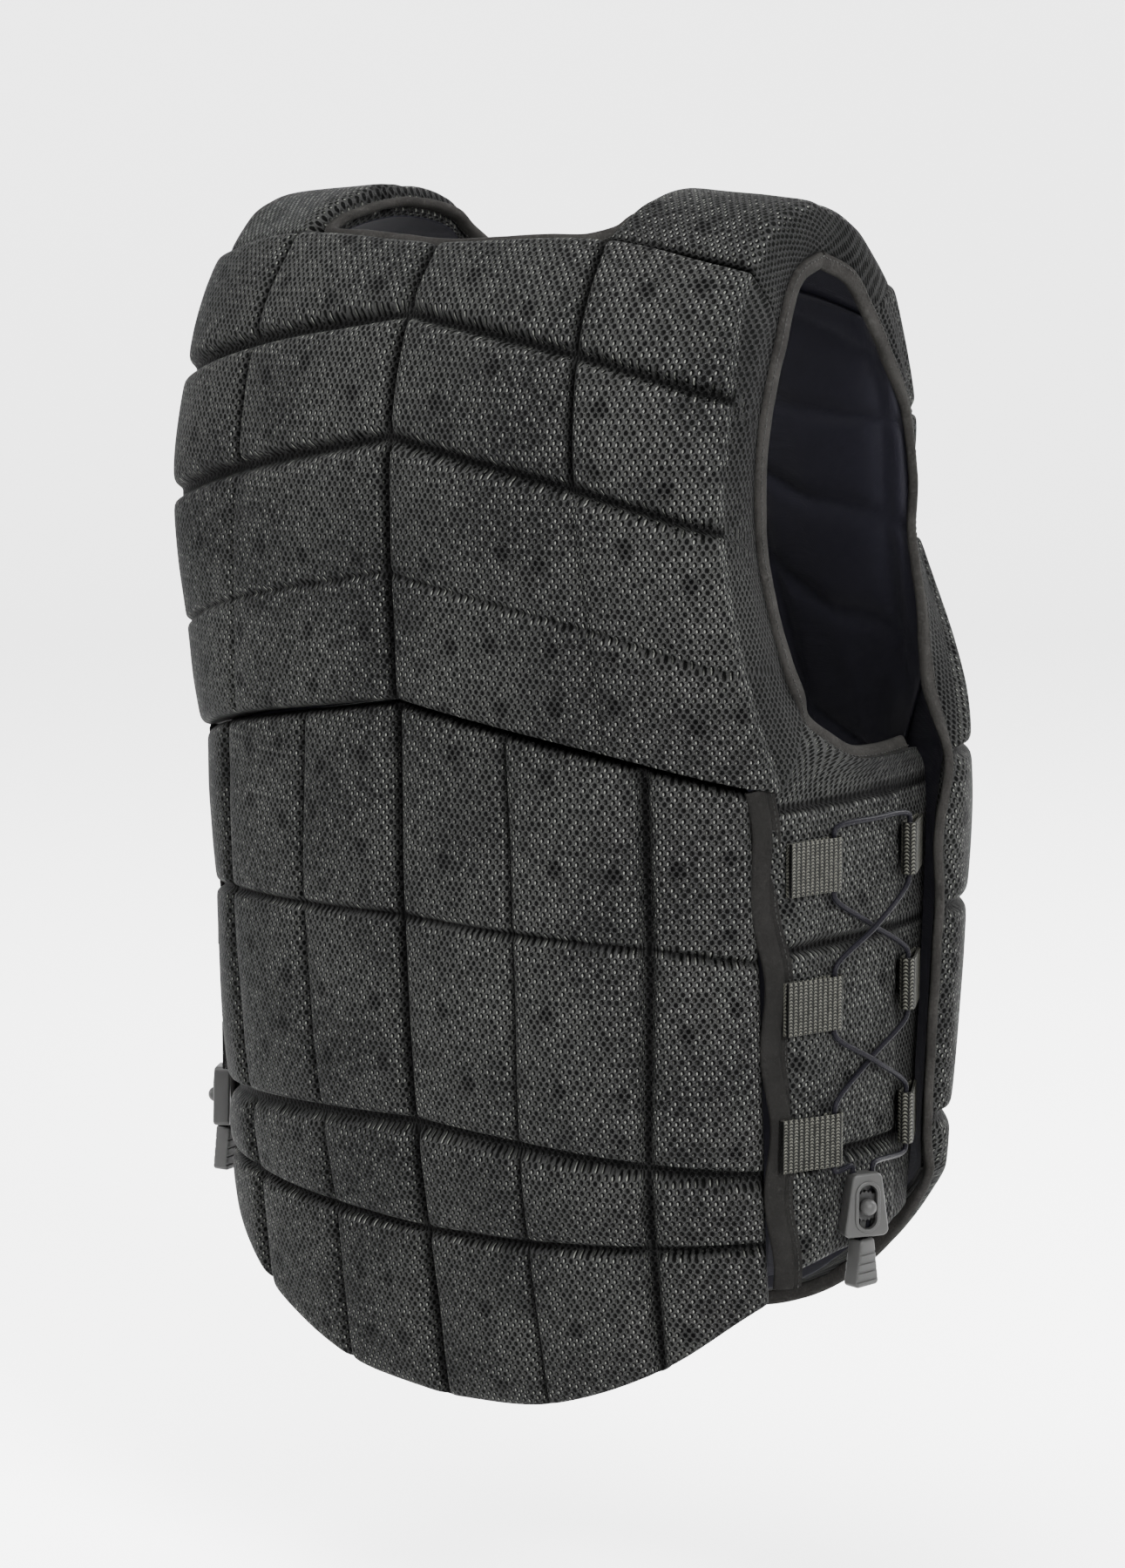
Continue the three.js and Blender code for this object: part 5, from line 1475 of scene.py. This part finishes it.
# webbing loops and the lace through them
lacing = {
    "width": 0.024,
    "thickness": 0.0013,
    "slit": 0.0007,
    "eye": 0.00225,
    "cord": 0.0025,
    "lift": 0.0009,
    "relief": 0.0045,
    "fit": 0.0004,
    "lowest": 0.134,
    "pitch": 0.062,
    "back": (0.512, 0.304),  # depths of a back loop's foot and fold
    "front": (-0.263, -0.095),
}
loopLift = lacing["relief"] + lacing["fit"] + lacing["thickness"] + lacing["eye"]
loopHeights = [lacing["lowest"] - body["backLength"] + i * lacing["pitch"] for i in (2, 1, 0)]
backFold, frontFold = [float(depthOf(lacing[end][1])) for end in ("back", "front")]


def loopEye(y, z):
    return onWing(y, z, loopLift + lacing["lift"])


def buildLoops(side, mirrored):
    for end in ("back", "front"):
        foot, fold = [float(depthOf(share)) for share in lacing[end]]
        for i, z in enumerate(loopHeights):
            base = onWing(foot, z, loopLift if end == "back" else lacing["thickness"] + 2 * lacing["fit"])
            eye = loopEye(fold, z)
            way = unit((eye - base) * np.array([1, 1, 0]))
            out = np.array([way[1], -way[0], 0])
            out = out * (1 if out[0] < 0 else -1)
            half = (lacing["slit"] + lacing["thickness"]) / 2
            middle = lacing["eye"] + lacing["thickness"] / 2
            near, turn = base + (eye - base) * 0.5, np.linspace(np.pi / 2, -np.pi / 2, 13)
            path = [base + out * half, near + out * (half + middle) * 0.5]
            path += [eye + out * middle * math.sin(t) + way * middle * math.cos(t) for t in turn]
            path += [near - out * (half + middle) * 0.5, base - out * half]
            path = evenCurve(np.array(path), 0.0008)
            facing = unit(np.cross(tangents(path), np.array([0, 0, 1.0])))
            thick = lacing["thickness"]
            name = f"{end}Loop{side.title()}{i + 1}"
            loop = grow(name, "band", path, facing, mirrored, Width=lacing["width"], Thickness=thick,
                        Rounding=thick * 0.45, Steps=2, Finish=finishes["webbing"])
            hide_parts(f"{end}_loop_{side}_{i + 1}")


cordLock = {
    "height": 0.029,
    "top": 0.015,
    "foot": 0.0215,
    "depth": 0.0084,
    "corner": 0.003,
    "twist": math.radians(30),
    "bottom": 0.088,
    "out": {"right": 0.006, "left": 0.013},
    "place": {"right": 0.201, "left": 0.341},
    "slot": (0.0086, 0.020),
    "slotDrop": 0.0006,
    "boreY": -0.00155,
    "boreTop": 0.0048,
    "boreFoot": 0.0021,
    "bore": 0.0035,
    "pocketY": 0.0013,
    "pocketDepth": 0.0032,
    "travel": 0.005,
    "wheel": 0.014,
    "wheelThickness": 0.0024,
    "teeth": 20,
    "tooth": 0.0007,
    "knob": 0.0077,
    "knobOut": 0.0006,
    "gap": 0.0004,
}
grip = {
    "height": 0.022,
    "top": 0.009,
    "foot": 0.0145,
    "depth": 0.0086,
    "corner": 0.002,
    "twist": math.radians(8),
    "gap": 0.0012,
    "back": 0.001,
    "hole": (0.0075, 0.0056, 0.005),
    "ribs": 3,
}


def lockFrame(side, twist):
    # columns: across the face, outwards, up, and the lock's middle
    middle = np.array([-(body["halfWidth"] + cordLock["out"][side]), float(depthOf(cordLock["place"][side])),
                       cordLock["bottom"] - body["backLength"] + cordLock["height"] / 2])
    across = np.array([math.sin(twist), math.cos(twist), 0])
    out = np.array([-math.cos(twist), math.sin(twist), 0])
    return across, out, middle


def buildLace(side, mirrored):
    high, middle, low = loopHeights
    half = lacing["width"] / 2
    across, out, lockMiddle = lockFrame(side, cordLock["twist"])

    def through(y, z, order):
        return [loopEye(y, z) + np.array([0, 0, s * order * half]) for s in (1.25, 0.8, 0, -0.8, -1.25)]

    def cross(z, lift):
        return [onWing((backFold + frontFold) / 2, z, loopLift + lift)]

    def inLock(sign, dz):
        share = dz / cordLock["height"] + 0.5
        x = cordLock["boreFoot"] + (cordLock["boreTop"] - cordLock["boreFoot"]) * share
        return lockMiddle - across * sign * x + out * cordLock["boreY"] + np.array([0, 0, dz])

    clear = lacing["cord"] / 2 + lacing["fit"]
    lift = lacing["lift"]
    shares = (0.6, 0.5, 0.2, -0.2, -0.5)
    foot = -cordLock["height"] / 2 - grip["gap"] - grip["hole"][2] + 0.001
    up = [inLock(-1, s * cordLock["height"]) for s in shares[::-1]]
    down = [inLock(1, s * cordLock["height"]) for s in shares]
    lowGap, highGap = (middle + low) / 2, (high + middle) / 2
    route = [inLock(-1, foot), *up, *through(backFold, low, -1), *cross(lowGap, lift - clear),
             *through(frontFold, middle, -1), *cross(highGap, lift - clear), *through(backFold, high, -1),
             *cross(high + half + 2 * lacing["cord"], lift), *through(frontFold, high, 1),
             *cross(highGap, lift + clear), *through(backFold, middle, 1), *cross(lowGap, lift + clear),
             *through(frontFold, low, 1), *down, inLock(1, foot)]
    path = evenCurve(np.array(route), 0.002)
    guide = np.broadcast_to(np.array([-1.0, 0.1, 0]), path.shape)
    ahead = tangents(path)
    facing = unit(guide - ahead * np.sum(guide * ahead, 1, keepdims=True))
    thick = lacing["cord"]
    cord = grow("lace" + side.title(), "band", path, facing, mirrored, Width=thick, Thickness=thick,
                Rounding=thick * 0.499, Steps=3, Finish=finishes["cord"])
    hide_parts(f"lace_{side}")


# moulded parts, from flat outlines with rounded edges
def roundedBox(top, foot, height, radius, steps=6):
    up = height / 2
    corners = [(-foot / 2, -up), (foot / 2, -up), (top / 2, up), (-top / 2, up)]
    points = []
    for i, (x, z) in enumerate(corners):
        for k in range(steps + 1):
            t = math.pi * (1 + (i + k / steps) / 2)
            points.append((x - math.copysign(radius, x) + radius * math.cos(t),
                           z - math.copysign(radius, z) + radius * math.sin(t)))
    return points


def plate(outlinePoints, low, high, edge):
    # the outline lies in x and z, the thickness runs from low to high on y
    curve = bpy.data.curves.new("plate", "CURVE")
    curve.dimensions = "2D"
    curve.fill_mode = "BOTH"
    curve.extrude = (high - low) / 2 - edge
    curve.bevel_depth = edge
    curve.bevel_resolution = 3
    curve.offset = -edge
    spline = curve.splines.new("POLY")
    spline.points.add(len(outlinePoints) - 1)
    for point, (x, z) in zip(spline.points, outlinePoints):
        point.co = (x, z, 0, 1)
    spline.use_cyclic_u = True
    obj = newObject("plate", curve)
    mesh = bpy.data.meshes.new_from_object(obj.evaluated_get(bpy.context.evaluated_depsgraph_get()))
    bpy.data.objects.remove(obj)
    work = bmesh.new()
    work.from_mesh(mesh)
    bmesh.ops.remove_doubles(work, verts=work.verts, dist=1e-6)
    for corner in work.verts:
        x, z, y = corner.co
        corner.co = (x, -y + (low + high) / 2, z)
    faceOutwards(work)
    work.to_mesh(mesh)
    work.free()
    return mesh


def shifted(mesh, x=0.0, y=0.0, z=0.0):
    for corner in mesh.vertices:
        corner.co += Vector((x, y, z))
    return mesh


def cylinder(radius, length, turn, place):
    mesh = bpy.data.meshes.new("cylinder")
    work = bmesh.new()
    bmesh.ops.create_cone(work, cap_ends=True, segments=24, radius1=radius, radius2=radius, depth=length)
    work.to_mesh(mesh)
    work.free()
    for corner in mesh.vertices:
        x, y, z = corner.co
        c, s = math.cos(turn), math.sin(turn)
        corner.co = (x * c + z * s + place[0], y + place[1], z * c - x * s + place[2])
    return mesh


def carve(name, mesh, cutters):
    obj = newObject(name, mesh)
    for cutter in cutters:
        tool = newObject("cutter", cutter)
        cut = obj.modifiers.new("cut", "BOOLEAN")
        cut.operation = "DIFFERENCE"
        cut.solver = "EXACT"
        cut.object = tool
        bake(obj)
        bpy.data.objects.remove(tool)
    return obj


def settle(obj, side, twist, mirrored, finish, bodyName, node):
    across, out, middle = lockFrame(side, twist)
    work = bmesh.new()
    work.from_mesh(obj.data)
    for corner in work.verts:
        x, y, z = corner.co
        corner.co = Vector(mirror(middle + across * x + out * y + np.array([0, 0, z]), mirrored).tolist())
    faceOutwards(work)
    work.to_mesh(obj.data)
    work.free()
    obj.data.materials.clear()
    obj.data.materials.append(finishes[finish])
    obj.data.shade_smooth()
    obj.data.set_sharp_from_angle(angle=math.radians(35))
    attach(obj, bodyName)
    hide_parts(node)


def joined(meshes):
    work = bmesh.new()
    for mesh in meshes:
        work.from_mesh(mesh)
    result = bpy.data.meshes.new("joined")
    work.to_mesh(result)
    work.free()
    return result


def aroundSlot(wider, rounder):
    width, height = cordLock["slot"]
    return roundedBox(width + wider, width + wider, height + wider, width / 2 + rounder, 10)


def buildLock(side, mirrored):
    lock = cordLock
    half, faceY = lock["height"] / 2, lock["depth"] / 2
    face = plate(roundedBox(lock["top"], lock["foot"], lock["height"], lock["corner"]), -faceY, faceY, 0.0011)
    width, height = lock["slot"]
    slot = plate(roundedBox(width, width, height, width / 2 - 1e-5, 10), 0, faceY + 0.002, 0.0001)
    shifted(slot, z=-lock["slotDrop"])
    room = lock["wheel"] + 2 * lock["gap"]
    tall = room + lock["travel"]
    low, high = lock["pocketY"] - lock["pocketDepth"] / 2, lock["pocketY"] + lock["pocketDepth"] / 2
    pocket = plate(roundedBox(room, room, tall, 0.0005, 2), low, high, 0.0001)
    shifted(pocket, z=-lock["slotDrop"] - lock["travel"] / 2)
    lean = math.atan2(lock["boreTop"] - lock["boreFoot"], lock["height"])
    boreX = (lock["boreTop"] + lock["boreFoot"]) / 2
    bores = [cylinder(lock["bore"] / 2, lock["height"] * 1.2, sign * lean, (sign * boreX, lock["boreY"], 0))
             for sign in (-1, 1)]
    rim = carve("rim", plate(aroundSlot(0.0036, 0.0017), faceY - 0.001, faceY + 0.0007, 0.0005),
                [plate(aroundSlot(0.0004, 0.0001), faceY - 0.003, faceY + 0.003, 0.0001)])
    shifted(rim.data, z=-lock["slotDrop"])
    shell = carve(f"cordLock{side.title()}", face, [slot, pocket, *bores])
    shell.data = joined([shell.data, rim.data])
    bpy.data.objects.remove(rim)
    settle(shell, side, lock["twist"], mirrored, "plastic", "vest", f"cord_lock_{side}")

    count = lock["teeth"] * 4
    rimLine = []
    for i in range(count):
        radius = lock["wheel"] / 2 - (lock["tooth"] if i % 4 > 1 else 0)
        rimLine.append((radius * math.cos(i / count * math.tau), radius * math.sin(i / count * math.tau)))
    thick = lock["wheelThickness"] / 2
    disc = plate(rimLine, lock["pocketY"] - thick, lock["pocketY"] + thick, 0.0002)
    knob = bpy.data.meshes.new("knob")
    work = bmesh.new()
    bmesh.ops.create_uvsphere(work, u_segments=28, v_segments=18, radius=lock["knob"] / 2)
    work.to_mesh(knob)
    work.free()
    shifted(knob, y=faceY + lock["knobOut"])
    wheel = newObject(f"lockWheel{side.title()}", shifted(joined([disc, knob]), z=-lock["slotDrop"]))
    # faces sunk behind the lock's face are painted darker as shade; the knob that stands out keeps the grey
    inPocketShade = [part.center.y < faceY - 0.0006 for part in wheel.data.polygons]
    settle(wheel, side, lock["twist"], mirrored, "plastic", f"{side}_lock_wheel", f"lock_wheel_{side}")
    wheel.data.materials.append(finishes["pocketShadePlastic"])
    wheel.data.polygons.foreach_set("material_index", np.array(inPocketShade, np.int32))

    low = -half - grip["gap"] - grip["height"] / 2
    deepHalf = grip["depth"] / 2
    gripLine = roundedBox(grip["top"], grip["foot"], grip["height"], grip["corner"])
    handle = plate(gripLine, -deepHalf, deepHalf, 0.0013)
    pitch = grip["height"] / (2 * grip["ribs"] + 1)
    cuts = []
    for i in range(grip["ribs"] + 1):
        z = grip["height"] * 0.2 - i * pitch * 1.3
        for y in (-deepHalf, deepHalf):
            groove = roundedBox(0.02, 0.02, pitch * 0.42, pitch * 0.2, 4)
            cuts.append(shifted(plate(groove, y - 0.0007, y + 0.0007, 0.0003), z=z))
    wide, deep, down = grip["hole"]
    hole = plate(roundedBox(wide, wide, down * 2, 0.0005, 2), -deep / 2, deep / 2, 0.0004)
    cuts.append(shifted(hole, z=grip["height"] / 2))
    pull = carve(f"cordGrip{side.title()}", handle, cuts)
    shifted(pull.data, y=-grip["back"], z=low)
    settle(pull, side, grip["twist"], mirrored, "plastic", "vest", f"cord_grip_{side}")


# zip up the middle of the front
zipper = {
    "rows": (0.03, 5.97),
    "tape": (0.0152, 0.0009),
    "pitch": 0.0025,
    "tooth": (0.0026, 0.0017, 0.0013),
    "toothGap": 0.0008,  # each row's middle beside the zip's own
    "behind": 0.0012,  # the tape under the teeth
    # slider, bridge and pull: widths at the top and foot, height, corner, from and to in depth, height
    "slider": [(0.007, 0.009, 0.012, 0.0015, -0.0035, -0.0002, -0.006),
               (0.003, 0.003, 0.007, 0.0012, -0.0052, -0.003, -0.004),
               (0.004, 0.0055, 0.022, 0.0018, -0.0060, -0.0048, -0.016)],
    "sliderEdges": (0.0006, 0.0006, 0.0004),
}


def buildZip():
    rows = np.linspace(*zipper["rows"], 60)
    heights = frontPlace(np.zeros(60), rows)[:, 2]
    path = places(0.0, outlineY(np.zeros(60), heights, False), heights)
    facing = unit(np.cross(tangents(path), np.array([1.0, 0, 0])))
    facing = facing * np.where(facing[:, 1] > 0, -1, 1)[:, None]
    width, thick = zipper["tape"]
    tape = grow("zipTape", "band", path - facing * zipper["behind"], facing, False, Width=width,
                Thickness=thick, Rounding=thick * 0.4, Steps=2, Finish=finishes["binding"])
    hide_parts("front_zip")
    long, wide, tall = zipper["tooth"]
    tooth = newObject("tooth", plate(roundedBox(tall, tall, long, 0.0003, 2), -wide / 2, wide / 2, 0.00025))
    for i, sign in enumerate((-1, 1)):
        beside = np.array([sign * zipper["toothGap"], 0, 0])
        row = evenCurve(path + facing * 0.0001 + beside, zipper["pitch"] / 4)[i * 2:]
        outer = np.broadcast_to(np.array([float(sign), 0, 0]), row.shape)
        teeth = grow("zipTeeth" + ("Right" if sign < 0 else "Left"), "row", row, outer, False, Part=tooth,
                     Pitch=zipper["pitch"], Unevenness=0.0, Seed=1, Finish=finishes["zip"])
    bpy.data.objects.remove(tooth)
    top = path[2]
    parts = []
    for (high, low, long, corner, near, far, z), rounding in zip(zipper["slider"], zipper["sliderEdges"]):
        parts.append(shifted(plate(roundedBox(high, low, long, corner), near, far, rounding), z=z))
    slider = newObject("zipSlider", joined(parts))
    shifted(slider.data, y=float(top[1]), z=float(top[2]))
    slider.data.materials.append(finishes["zip"])
    slider.data.shade_smooth()
    slider.data.set_sharp_from_angle(angle=math.radians(35))
    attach(slider, "vest")


for side, mirrored in sides:
    buildBindings(side, mirrored)
    buildTape(side, mirrored)
    buildLoops(side, mirrored)
    buildLace(side, mirrored)
    buildLock(side, mirrored)
buildNeckBinding()
buildZip()
bpy.data.objects.remove(stitchPart)
print("trim")
